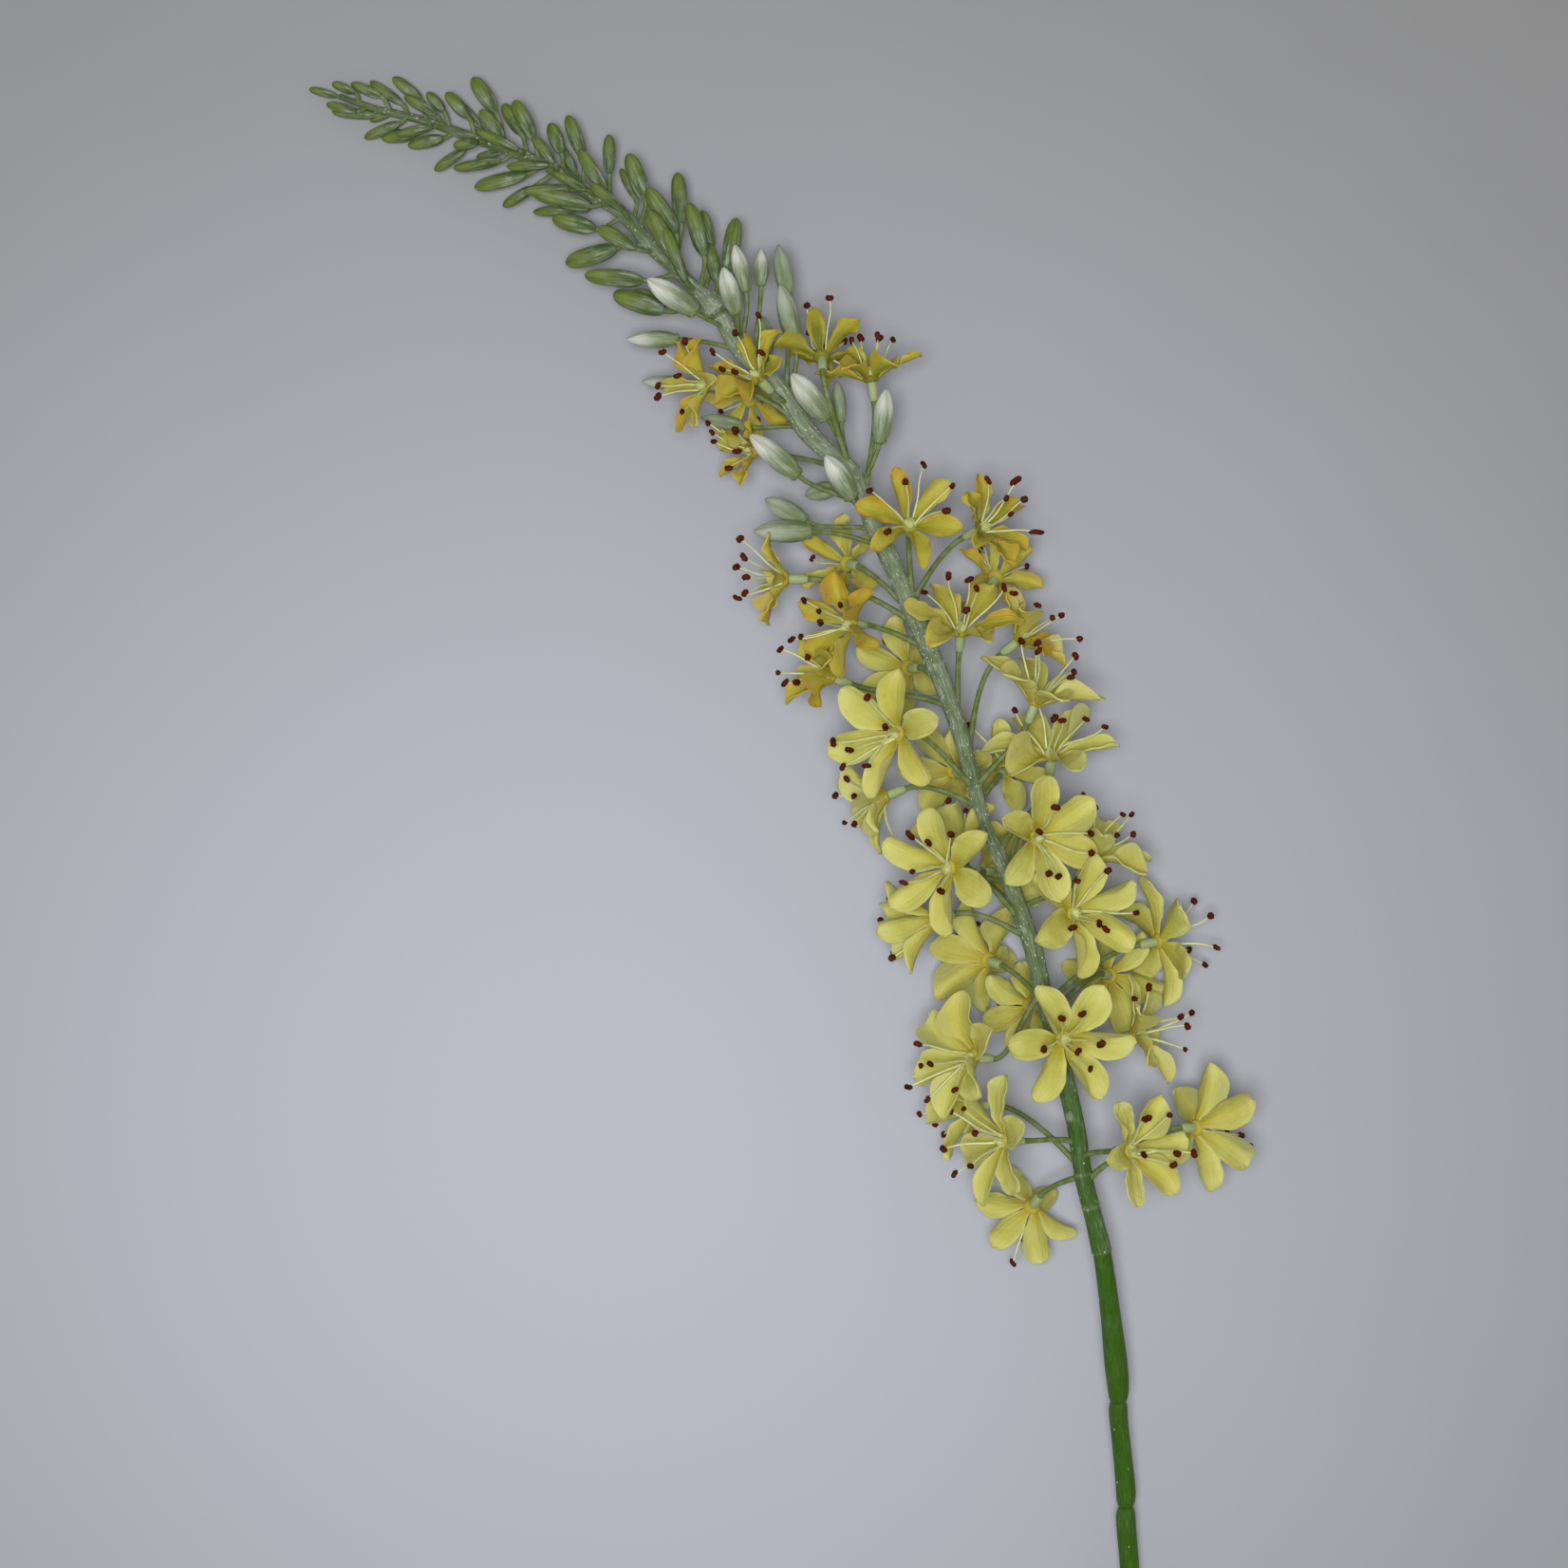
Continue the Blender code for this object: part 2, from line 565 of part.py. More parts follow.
def ring_tree(rings):
    """Search tree of the closed skin through the rings."""
    corners = [corner for ring in rings for corner in ring]
    around = len(rings[0])
    faces = []
    for step in range(len(rings) - 1):
        for side in range(around):
            following = (side + 1) % around
            low, high = step * around, (step + 1) * around
            faces.append((low + side, low + following, high + following, high + side))
    faces.append(tuple(range(around)))
    faces.append(tuple(len(corners) - around + side for side in range(around)))
    return BVHTree.FromPolygons(corners, faces)


def mesh_tree(solid):
    """Search tree of a mesh object, in millimetres."""
    corners = [solid.matrix_world @ vertex.co / MM for vertex in solid.data.vertices]
    return BVHTree.FromPolygons(corners, [tuple(face.vertices) for face in solid.data.polygons])


def hub_tree(bloom):
    """Search tree of a bloom's hub, a little larger than it is."""
    frame = bloom_frame(bloom)
    hub, facing, _, _, first = frame
    rings = []
    for height in (-SEAT_GAP / 2, HUB_HEIGHT + CLEARANCE):
        angles = [first + PETAL_TURN * (corner - 1 / 2) for corner in range(PETALS)]
        rings.append([hub + height * facing + (HUB_RADIUS + CLEARANCE) * outward(frame, a) for a in angles])
    return ring_tree(rings)


def is_clear(rings, trees):
    """Whether rings made larger by the clearance lie on or above the surface and cross none of the trees."""
    if min(corner.z for ring in rings for corner in ring) < -CLEARANCE:
        return False
    own = ring_tree(rings)
    return not any(own.overlap(tree) for tree in trees)


def find_petal(bloom, number, trees, own):
    """First bend, swing and share that keep a petal clear, or none."""
    for share, swing, bend in product(PETAL_SHARES, PETAL_SWINGS, PETAL_BENDS):
        rings = petal_rings(bloom, number, bend, swing, share, CLEARANCE)
        if is_clear(rings, trees) and is_clear(rings[1:], own):
            return bend, swing, share
    return None


def find_stamen(bloom, number, trees, own):
    """First lean, turn and share that keep a stamen clear, or none."""
    for share, turn, lean in product(STAMEN_SHARES, STAMEN_TURNS, STAMEN_LEANS):
        rings = stamen_rings(bloom, number, lean, turn, share, CLEARANCE)[1:]
        if is_clear(rings, trees + own):
            return lean, turn, share
    return None


def arrange_blooms(stalk):
    """Finds for every petal and stamen the first bend that keeps it clear of all the others."""
    stalk_tree = mesh_tree(stalk)
    hubs = [hub_tree(bloom) for bloom in BLOOMS]
    middles = [bloom_frame(bloom)[0] for bloom in BLOOMS]
    placed = [[] for _ in BLOOMS]
    petals = {}
    stamens = {}
    order = sorted(range(len(BLOOMS)), key=lambda index: -BLOOMS[index].height)
    kinds = ((petals, find_petal, petal_rings, 0), (stamens, find_stamen, stamen_rings, 1))
    for found, find, shape, first_ring in kinds:
        for index in order:
            bloom = BLOOMS[index]
            near = [i for i in order if i != index and (middles[i] - middles[index]).length < NEIGHBOUR_REACH]
            trees = [stalk_tree] + [hubs[i] for i in near] + [tree for i in near for tree in placed[i]]
            for number in range(PETALS) if find is find_petal else stamens_of(bloom):
                bend = find(bloom, number, trees, placed[index])
                if bend:
                    found[index, number] = bend
                    placed[index].append(ring_tree(shape(bloom, number, *bend, 0)[first_ring:]))
    return petals, stamens


def grow(body, faces, rings):
    """Extrudes the face nearest to the first ring through all rings, each corner to its own corner."""
    middle = sum(rings[0], Vector()) / len(rings[0])
    face = min(faces, key=lambda each: (each.calc_center_median() - middle).length)
    faces.remove(face)
    corners = rings[0]
    for ring in rings[1:]:
        face = bmesh.ops.extrude_discrete_faces(body, faces=[face])["faces"][0]
        for vertex in face.verts:
            nearest = min(range(len(corners)), key=lambda corner: (corners[corner] - vertex.co).length)
            vertex.co = ring[nearest]
        corners = ring


def add_bloom(index, petals, stamens, collection):
    """Makes one bloom: a six-sided hub with its petals and stamens grown from its faces."""
    bloom = BLOOMS[index]
    frame = bloom_frame(bloom)
    hub, facing, _, _, first = frame
    body = bmesh.new()
    made = bmesh.ops.create_cone(
        body, cap_ends=True, segments=PETALS, radius1=HUB_RADIUS, radius2=HUB_RADIUS, depth=HUB_HEIGHT
    )
    for vertex in made["verts"]:
        angle = first + math.degrees(math.atan2(vertex.co.y, vertex.co.x))
        height = vertex.co.z + HUB_HEIGHT / 2
        vertex.co = hub + height * facing + HUB_RADIUS * outward(frame, angle)
    _, *sides, front = sorted(body.faces, key=lambda face: (face.calc_center_median() - hub).dot(facing))
    wedges = bmesh.ops.poke(body, faces=[front])["faces"]
    for number in range(PETALS):
        if (index, number) in petals:
            grow(body, sides, petal_rings(bloom, number, *petals[index, number], 0))
        if (index, number) in stamens:
            grow(body, wedges, stamen_rings(bloom, number, *stamens[index, number], 0))
    bmesh.ops.remove_doubles(body, verts=body.verts, dist=WELD_DISTANCE)
    bmesh.ops.recalc_face_normals(body, faces=body.faces)
    bmesh.ops.translate(body, verts=body.verts, vec=-hub)
    bmesh.ops.scale(body, verts=body.verts, vec=(MM, MM, MM))
    mesh = bpy.data.meshes.new("bloom")
    body.to_mesh(mesh)
    body.free()
    flower = bpy.data.objects.new("bloom", mesh)
    flower.location = hub * MM
    collection.objects.link(flower)
    finish(flower, f"bloom_{index + 1:02d}", BLOOM_ORANGE if bloom.y > UPPER_BLOOMS_ABOVE else BLOOM_YELLOW)


def main():
    """Builds the whole spike."""
    clear_scene()
    collection = new_collection(OBJECT_NAME)
    stalk = add_stalk(collection)
    petals, stamens = arrange_blooms(stalk)
    for index in range(len(BLOOMS)):
        add_bloom(index, petals, stamens, collection)


main()
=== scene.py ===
"""Looks of an artificial foxtail lily spike: its petals, stamens, stem, side stalks, buds and stage."""

import math
from collections import namedtuple
from itertools import product
from random import Random

import bpy
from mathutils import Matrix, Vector
from mathutils.kdtree import KDTree


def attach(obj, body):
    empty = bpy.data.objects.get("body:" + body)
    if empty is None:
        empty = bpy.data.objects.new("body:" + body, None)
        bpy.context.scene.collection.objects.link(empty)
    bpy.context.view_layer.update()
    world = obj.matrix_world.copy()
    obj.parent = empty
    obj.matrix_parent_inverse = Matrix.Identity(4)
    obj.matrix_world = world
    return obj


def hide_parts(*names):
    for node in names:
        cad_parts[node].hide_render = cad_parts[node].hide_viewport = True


bl_info = {
    "name": "Foxtail lily spike",
    "version": (1, 0, 0),
    "blender": (4, 5, 0),
    "location": "View3D > Sidebar > Foxtail Lily",
    "description": "Makes the petals, stamens, stem, side stalks and buds of a foxtail lily spike",
    "category": "Add Mesh",
}

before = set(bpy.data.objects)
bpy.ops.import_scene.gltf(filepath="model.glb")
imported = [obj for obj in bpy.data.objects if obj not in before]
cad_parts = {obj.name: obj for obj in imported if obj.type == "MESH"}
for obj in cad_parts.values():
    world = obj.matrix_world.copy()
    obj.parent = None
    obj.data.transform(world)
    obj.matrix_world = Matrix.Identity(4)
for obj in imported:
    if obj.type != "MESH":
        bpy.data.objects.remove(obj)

BODY = "root"
STALK_NODE = "stalk"

# All sizes are in millimetres, and each mesh is scaled to metres when it is made.
MM = 0.001

# The spike is laid out as it looks from straight above: x to the right and y towards the tip, read
# on the level of the stalk, with a height above the surface that it lies on. Points above or below
# that level are drawn in or out along the line of sight.
EYE_HEIGHT = 1200
LAYOUT_HEIGHT = 35
SHIFT_X = 2.5
SHIFT_Y = 41.5

# Stalk, from the cut end to the tip: x, y, height and radius
STALK = (
    (93.5, -268.5, 2.8, 2.7),
    (93, -238.5, 6.2, 2.65),
    (91, -206.5, 11.5, 2.6),
    (90, -194, 13.6, 2.65),
    (90, -191, 14.1, 1.6),
    (90, -189, 14.5, 1.8),
    (90, -186, 14.9, 2.65),
    (89, -175.5, 17.0, 2.5),
    (88, -166, 18.9, 2.5),
    (88, -162.5, 19.6, 1.8),
    (88, -159, 20.3, 2.85),
    (87.5, -153.5, 21.3, 3.1),
    (86, -140, 23.9, 2.7),
    (84, -125, 26.8, 2.45),
    (82, -116, 28.2, 2.4),
    (79, -104, 30.0, 2.4),
    (77, -91, 31.8, 2.4),
    (74.5, -79.5, 33.0, 2.4),
    (71, -65, 34.2, 2.4),
    (68, -54, 34.8, 2.4),
    (66, -45, 35.2, 2.4),
    (62, -33, 35.6, 2.4),
    (57.5, -21, 35.8, 2.2),
    (54, -13, 35.9, 1.5),
    (52.5, -9, 36.0, 1.4),
    (51, -4, 36.0, 1.9),
    (47, 11.5, 36.0, 2.3),
    (43.5, 22, 35.8, 2.5),
    (40, 31, 35.5, 2.6),
    (36, 40, 35.2, 2.6),
    (32, 50, 34.8, 2.6),
    (28, 59, 34.2, 2.6),
    (24, 67.5, 33.5, 2.6),
    (21, 75.5, 32.8, 2.5),
    (17, 83, 32.0, 2.5),
    (11, 88, 31.0, 2.6),
    (6, 93, 30.0, 2.7),
    (1, 100.5, 28.6, 2.8),
    (-5, 108, 26.9, 2.7),
    (-12, 115, 25.0, 2.5),
    (-16, 122, 23.2, 2.4),
    (-19, 126, 22.4, 2.9),
    (-23, 130, 21.4, 1.9),
    (-29, 136, 19.6, 2.0),
    (-35.5, 142, 17.8, 2.0),
    (-43, 150.5, 15.5, 1.9),
    (-52, 156, 13.4, 1.8),
    (-61, 162, 11.5, 1.7),
    (-70, 166, 9.4, 1.6),
    (-83, 170.5, 6.8, 1.4),
    (-96, 175, 4.6, 1.1),
    (-107, 177.5, 3.2, 1.0),
    (-117, 181, 2.2, 0.8),
)

# Sleeve joints of the stem: level, radius of the neck, and how far its rounded shoulders reach below
# and above it. Ring lines are faint raised seams: level and height, and how far each reaches.
JOINTS = (
    (-190.2, 1.6, 3.4, 3.6),
    (-162.6, 1.85, 3.2, 3.6),
    (-10.5, 1.3, 2.2, 6.0),
    (123.6, 2.2, 1.2, 0.35),
)
RING_LINES = ((-111.3, 0.14), (-102.6, 0.14), (-45, 0.14), (31, 0.14), (75, 0.14))
RING_REACH = 0.5

# Lips of the stem's sleeves: level of the lower edge, how far it stands out, and how far up it tapers off
LIPS = ((-123.3, 0.3, 9), (124.0, 1.0, 8))

# Powder added on rings and lips; how far the painted shade just below a lip reaches, and the share of the powder that
# is missing there, which paints that shade as a darker green line
RIM_POWDER = 0.26
LIP_SHADE_PAINT_REACH = 0.6
LIP_SHADE_PAINT_DEPTH = 0.75

# Places that the stem is swept through: how far apart they are on plain lengths and near a joint, ring or
# lip, how near that is, and the bevel of the cut end
PLAIN_STEP = 1.2
FINE_STEP = 0.3
NEAR_JOINT = 8
NEAR_RING = 2
CUT_BEVEL = 0.25

# Pale scars on the stem: x and y in the layout, radius and how plainly they show
SCARS = ((75, -87.7, 1.8, 0.5), (78.5, -97, 1.2, 0.3))

# How thickly the pale powder covers the stem, by level
POWDER = (
    (-270, 0.02),
    (-123.8, 0.02),
    (-123.3, 0.14),
    (-90, 0.14),
    (-50, 0.4),
    (-10, 0.75),
    (60, 0.85),
    (95, 1),
    (122, 1),
    (134, 0.7),
    (190, 0.4),
)

# Open blooms: x, y and height of the back of the hub, the compass angle and the rise of the way that
# it faces, petal length, the compass angle of its first petal, the y where its pedicel roots, and by how
# many degrees its petals stand closer than usual.
Bloom = namedtuple("Bloom", "x y height compass rise petal first root cup", defaults=(0,))
BLOOMS = (
    Bloom(-20, 105, 36, 180, 25, 12.5, 120, 95),
    Bloom(-6.5, 106.5, 38, 138, 35, 12, 108, 99),
    Bloom(-9, 101.5, 20, 250, -62, 11, -75, 94),
    Bloom(-7.5, 87.5, 22, 175, 30, 9.5, 165, 81.5, 10),
    Bloom(10, 112, 34, 92, -48, 12, 100, 81.5),
    Bloom(23, 106, 33, 98, 2, 12.5, 185, 74, -8),
    Bloom(33, 68, 46, 90, 70, 13.5, 45, 44),
    Bloom(51.5, 67, 38, 25, 35, 12.5, 100, 46.5),
    Bloom(17, 58, 24, 160, -60, 11.5, 90, 44),
    Bloom(1, 54, 35, 180, 2, 12.5, 120, 41.5),
    Bloom(18, 42, 42, 180, 48, 13.5, 96, 35),
    Bloom(13, 28, 36, 160, 20, 12.5, 60, 20, 22),
    Bloom(55.5, 54, 23, 60, -45, 11, 99, 41.5),
    Bloom(46.5, 39.5, 42, 86, 35, 15, -5, 14),
    Bloom(61.5, 37.5, 32, 38, 10, 13, 128, 6.5),
    Bloom(30, 13.5, 50, 190, 58, 16.5, 76, -2),
    Bloom(66, 21, 41, 70, 14, 16.5, 150, -2),
    Bloom(70, 6.5, 32, 92, 29, 16.5, -6, -18.5, -8),
    Bloom(58, 3.5, 20, 40, -70, 12, 100, -6),
    Bloom(33, 30.5, 20, 180, -62, 13, 97, 21.5),
    Bloom(45, 3.5, 20.5, 150, -60, 12.5, 125, -5),
    Bloom(27, -3, 33, 200, 8, 13.5, 283, -6.5, 8),
    Bloom(66, -14, 50, -10, 58, 16, 100, -26),
    Bloom(80, -20, 34, 62, 15, 16, 0, -33.5),
    Bloom(47, -17, 22, 100, -35, 12.5, 112, -27),
    Bloom(43.5, -22, 50, 195, 62, 16, 36, -37),
    Bloom(76, -34, 43, 5, 64, 16, 26, -43.5),
    Bloom(98, -41.5, 17.8, 10, -25, 15.5, 100, -58.5, -28),
    Bloom(54, -46.5, 20, 160, -52, 15.5, 165, -58.5),
    Bloom(40, -35.5, 32, 195, -12, 15, 250, -41, 14),
    Bloom(85.5, -50.5, 15.8, -20, -66, 15.5, -13, -62),
    Bloom(91.5, -66, 26, 18, 12, 14, 108, -76, -6),
    Bloom(73.5, -67, 51, -30, 76, 16.5, 0, -81),
    Bloom(50.5, -72, 40, 172, 32, 16.5, 140, -55),
    Bloom(65, -58.5, 18, 200, -55, 12, 200, -61),
    Bloom(58.5, -94, 42, 178, 26, 16, 76, -94.5, -12),
    Bloom(50, -85, 24, 188, -30, 14, 187, -101.5),
    Bloom(90.5, -96.5, 45, 8, 46, 14.5, 10, -98.5),
    Bloom(108, -90.5, 34, -3, -42, 16, 87, -105, -4),
    Bloom(65.5, -111, 19, 240, -50, 13.5, -18, -103.5),
    Bloom(55, -23, 19, 0, -60, 13, 24, -35),
)

BloomFrame = namedtuple("BloomFrame", "hub facing sideways upward first")

# How far the petals of a bloom turn from lemon to amber and to olive; the rest are lemon.
WARM_BLOOMS = {
    1: (0.95, 0.35),
    2: (0.85, 0.6),
    3: (0.95, 0.4),
    4: (0.9, 0.5),
    5: (0.25, 1.25),
    6: (0.45, 1.0),
    7: (0.7, 0.6),
    8: (0.5, 1.0),
    9: (0.9, 0.3),
    10: (0.95, 0.4),
    11: (0.8, 0.5),
    12: (0.75, 0.5),
    13: (0.5, 0.3),
    14: (0.6, 0.45),
    15: (0.8, 0.35),
}
LEMON = (0.06, 0.1)

# Where the anthers of the blooms stand that show them: x and y in the layout and, for a longer or
# shorter anther, its length as a share of the usual one
ANTHER_SPOTS = {
    1: ((-26, 116.5), (-32, 113.75), (-28, 107.5), (-33.25, 102), (-26.75, 98)),
    2: ((-12.75, 118.75), (-18.75, 113.75), (-6, 113.5), (-16.25, 109.25), (-6.75, 123.25)),
    4: ((-20, 95), (-19, 92.5), (-18.5, 90.25)),
    5: ((6, 126), (12, 128)),
    6: ((8.5, 113.5), (17.75, 116.75), (20.25, 117.5), (28.75, 117)),
    7: ((22.5, 77.25), (32, 79.5), (27.25, 66.5), (36.75, 84), (42.75, 72), (44.25, 78.5)),
    8: ((53.75, 80), (61, 79.75, 1.7), (63.25, 75), (59.75, 71), (66.5, 66.25, 1.9), (58.5, 75.25)),
    9: ((7.5, 59.5), (20.75, 64.5), (14, 68)),
    10: ((-11.5, 64.5), (-10.5, 59.75), (-12.5, 57), (-10.25, 50.25), (-12.25, 49)),
    11: ((5.25, 48.25), (9.25, 45.5), (9.5, 42.5), (4.5, 38.75), (2, 38)),
    12: ((-1, 35.5), (-1.5, 29.25)),
    13: ((52.25, 63), (51, 61), (62, 60.25, 1.4), (64, 57.25)),
    14: ((43.25, 54.75), (48.75, 53.75), (50.75, 51.5), (48, 45.75), (58, 51.75), (37, 50.5)),
    15: ((60.5, 50.25), (66.75, 47), (70.75, 43.75), (73, 44.5), (77.75, 38.25), (66.75, 37.25)),
    16: ((22, 22.75), (26.75, 15), (13, 11, 1.4), (17.25, 9), (15.5, 4.5), (21.75, 4.75)),
    17: ((66.75, 37), (67, 35), (76.25, 29.5), (75.5, 28)),
    18: ((73.25, 16.75), (71.25, 17.25), (79.5, 17), (84.5, 15)),
    19: ((49, 15.5), (58, 14.5), (63, 9)),
    22: ((16.5, 1.25), (18.5, -3.25), (18.5, -10.5), (28.75, -15.75)),
    23: ((80.75, -13), (69.75, -23.5), (72.25, -24.25), (71.5, -6.25)),
    24: ((78.5, -3.25), (81.75, -6.25), (89.25, -8), (91.5, -8), (92, -13.25), (87.75, -13.5)),
    26: ((33.25, -13.5, 1.6), (38, -15.5), (33.75, -23), (31.5, -26), (41.25, -28.25), (44, -13.25)),
    27: ((92.75, -34), (83, -36.75), (84.75, -38.25), (85.25, -22.75), (77.25, -25.5)),
    30: ((25.5, -35.75), (27.75, -30.25), (28.75, -32.75)),
    32: ((104.5, -61.25), (107.25, -60.25), (106.25, -63.75), (96, -53.5), (92.25, -56.5)),
    33: ((78.5, -60.5), (83.5, -68.5), (77.5, -70.5), (80.75, -75)),
    34: ((35.25, -68.5), (36, -74.25), (38.5, -73.75), (32.75, -79.75), (37.75, -83), (45, -80.5)),
    38: ((95.5, -88, 1.3), (101.5, -87.25), (103.5, -97.25), (108, -97.25, 1.4), (102.5, -100.25)),
    39: ((118, -85.25), (116.5, -91), (120.25, -92.5), (117.5, -98)),
    40: ((55.5, -113.5), (60.25, -126), (68, -124.25)),
}

# Green buds of the tip: x and y of the bud's tip, x and y of its foot, radius, and how far it stands
# above or below the stalk.
GreenBud = namedtuple("GreenBud", "tip_x tip_y foot_x foot_y radius lift")
GREEN_BUDS = (
    GreenBud(-125, 183, -117.5, 181, 1.2, 0),
    GreenBud(-119, 184.5, -113, 182, 1.4, 2),
    GreenBud(-120.5, 179, -112.5, 177, 1.4, 2.5),
    GreenBud(-114, 184.5, -106, 181, 1.5, 0),
    GreenBud(-119, 177, -107, 176, 1.8, -1.5),
    GreenBud(-109, 185, -100.5, 179, 1.5, -1),
    GreenBud(-103, 186, -95.5, 180, 1.9, 1),
    GreenBud(-100, 181, -91.5, 176, 1.8, 3),
    GreenBud(-109, 174.5, -103, 177, 1.2, -2.5),
    GreenBud(-110.5, 170, -101, 174, 1.8, 0),
    GreenBud(-106, 170, -97, 171, 1.9, -2),
    GreenBud(-102, 171, -92.5, 173, 1.5, 3.5),
    GreenBud(-94, 182, -89.5, 177, 1.6, 0),
    GreenBud(-89, 182, -83, 175.5, 1.9, 1.5),
    GreenBud(-85.5, 179.5, -80, 173, 1.5, -3),
    GreenBud(-99, 168, -89.5, 170, 1.8, -1),
    GreenBud(-92, 161.5, -84, 167, 1.9, 0),
    GreenBud(-87, 168, -80.5, 169, 1.8, 4),
    GreenBud(-82, 186, -76, 177, 2.2, 1),
    GreenBud(-80, 177.5, -74, 170, 1.9, 4),
    GreenBud(-87, 162, -74.5, 164, 2.1, 1.5),
    GreenBud(-81, 165, -74, 166.5, 1.2, -4),
    GreenBud(-81.5, 157, -67.5, 160.5, 2.1, -1.5),
    GreenBud(-73, 162.5, -62, 163, 1.9, 5),
    GreenBud(-74, 179, -69, 171, 1.9, -3),
    GreenBud(-71, 180, -66, 170, 2.2, 3),
    GreenBud(-81, 172, -70, 167, 1.6, 4.5),
    GreenBud(-66, 170.5, -60.5, 163.5, 2.1, 4),
    GreenBud(-61.5, 174, -58.5, 166, 2.1, -2),
    GreenBud(-59, 168, -55, 161, 1.6, -5),
    GreenBud(-57, 176, -53, 165, 2.1, 0),
    GreenBud(-54, 167, -47, 156, 2.1, 4.5),
    GreenBud(-74, 152, -66, 157, 2.2, -2),
    GreenBud(-68.5, 156, -56.5, 156.5, 1.8, 5),
    GreenBud(-66.5, 156, -51, 152, 2.5, 3),
    GreenBud(-66, 150.5, -55, 151, 2.0, -4),
    GreenBud(-61, 149, -49.5, 146, 2.5, 2),
    GreenBud(-49, 146.5, -39, 141, 2.1, 5),
    GreenBud(-57.5, 137, -44, 141, 2.8, 0),
    GreenBud(-52.5, 134, -37, 132.5, 2.6, 3),
    GreenBud(-45, 129, -31.5, 124.5, 2.8, 0),
    GreenBud(-40, 129.5, -30.5, 126, 2.0, -5),
    GreenBud(-46, 171, -46, 160.5, 2.2, -1),
    GreenBud(-41, 166, -36.5, 154, 2.5, 2),
    GreenBud(-43, 162, -39, 154, 1.6, -4),
    GreenBud(-36, 157, -28.5, 145, 2.6, 3),
    GreenBud(-36, 151, -28.5, 138.5, 2.8, 6),
    GreenBud(-28, 161, -27, 147.5, 2.4, -3),
    GreenBud(-25, 153, -21, 139, 2.4, 4),
    GreenBud(-21.5, 151, -19, 141, 1.8, -4),
    GreenBud(-20, 142.5, -17.5, 132, 2.1, -2),
    GreenBud(-12.5, 149, -15, 135, 2.5, -4),
    GreenBud(-61, 161, -52, 156.5, 1.8, 5.5),
    GreenBud(-51, 158, -42.5, 151, 1.8, 6),
    GreenBud(-31.5, 146.5, -26, 132.5, 1.8, 6.5),
    GreenBud(-53.5, 151, -51, 153, 1.8, -6),
)

# White buds below them: the same, the y where the pedicel roots, and how white the bud has turned.
WhiteBud = namedtuple("WhiteBud", "tip_x tip_y foot_x foot_y radius lift root white")
WHITE_BUDS = (
    WhiteBud(-36, 133, -23, 124, 3.2, 6, 119, 1),
    WhiteBud(-41.5, 117, -27.5, 117, 2.4, -1, 113.5, 0.8),
    WhiteBud(-37.5, 106, -23, 105, 2.2, -6, 104.5, 0.6),
    WhiteBud(-16, 136, -12.5, 123.5, 2.8, 6, 114.5, 1),
    WhiteBud(-13, 142, -10, 129.5, 2.5, 3, 113.5, 1),
    WhiteBud(-6, 141, -6, 131, 2.1, 0, 110, 0.8),
    WhiteBud(-1.5, 142, 1, 128, 2.5, -3, 100, 0.3),
    WhiteBud(-1, 131.5, 3, 116, 2.8, 2, 99, 0.5),
    WhiteBud(-6.5, 123.5, -3.5, 115.5, 2.2, -4, 108.5, 0.2),
    WhiteBud(2, 108, 11.5, 96, 3.4, 6, 81.5, 1),
    WhiteBud(14, 106, 15, 95, 2.0, -2, 81.5, 0.3),
    WhiteBud(27, 104, 25, 89.5, 2.8, 3, 76.5, 1),
    WhiteBud(-9, 92, 4, 81, 3.2, 5, 72, 1),
    WhiteBud(11, 86.5, 18, 75, 3.2, 8, 70, 1),
    WhiteBud(5.5, 76, 14, 78, 2.5, -6, 72, 0.3),
    WhiteBud(-5, 75, 6, 69, 2.8, -3, 66.5, 0.45),
    WhiteBud(-8, 66.5, 7.5, 66.5, 3.1, 2, 61.5, 0.45),
    WhiteBud(-22, 96.5, -10, 94, 2.0, -7, 93.5, 0.3),
)

# Pedicels: how far they turn up where they leave the stalk, how strongly their ends hold their
# directions, their radius by share of the way, and how much those of the buds have of the pale colour
BLOOM_UPTURN = 0.35
BUD_UPTURN = 0.5
PATH_PULL = 0.9
SIDE_STALK_SIDES = 10
PEDICEL_STEPS = 14
PEDICEL_GIRTHS = ((0, 1.2), (0.12, 0.85), (0.5, 0.7), (0.85, 0.72), (1, 0.85))
BUD_PEDICEL_STEPS = 8
BUD_PEDICEL_GIRTHS = ((0, 0.85), (0.2, 0.64), (0.8, 0.6), (1, 0.7))
BUD_PEDICEL_COVER = 0.1

# Receptacle of a bloom: its gap to the hub, its length, and its radius by share of that length
SEAT_GAP = 0.3
RECEPTACLE_LENGTH = 5
RECEPTACLE_GIRTHS = ((0.02, 1.0), (0.12, 1.2), (0.5, 1.35), (0.85, 1.32), (1, 1.2))

# Buds: how far below its foot a green bud's pedicel roots, as a share of its distance from the stalk,
# and how much of a bud's lift its foot and its tip have
BUD_ROOT_LAG = 0.75
BUD_FOOT_LIFT = 0.8
BUD_TIP_LIFT = 1.3

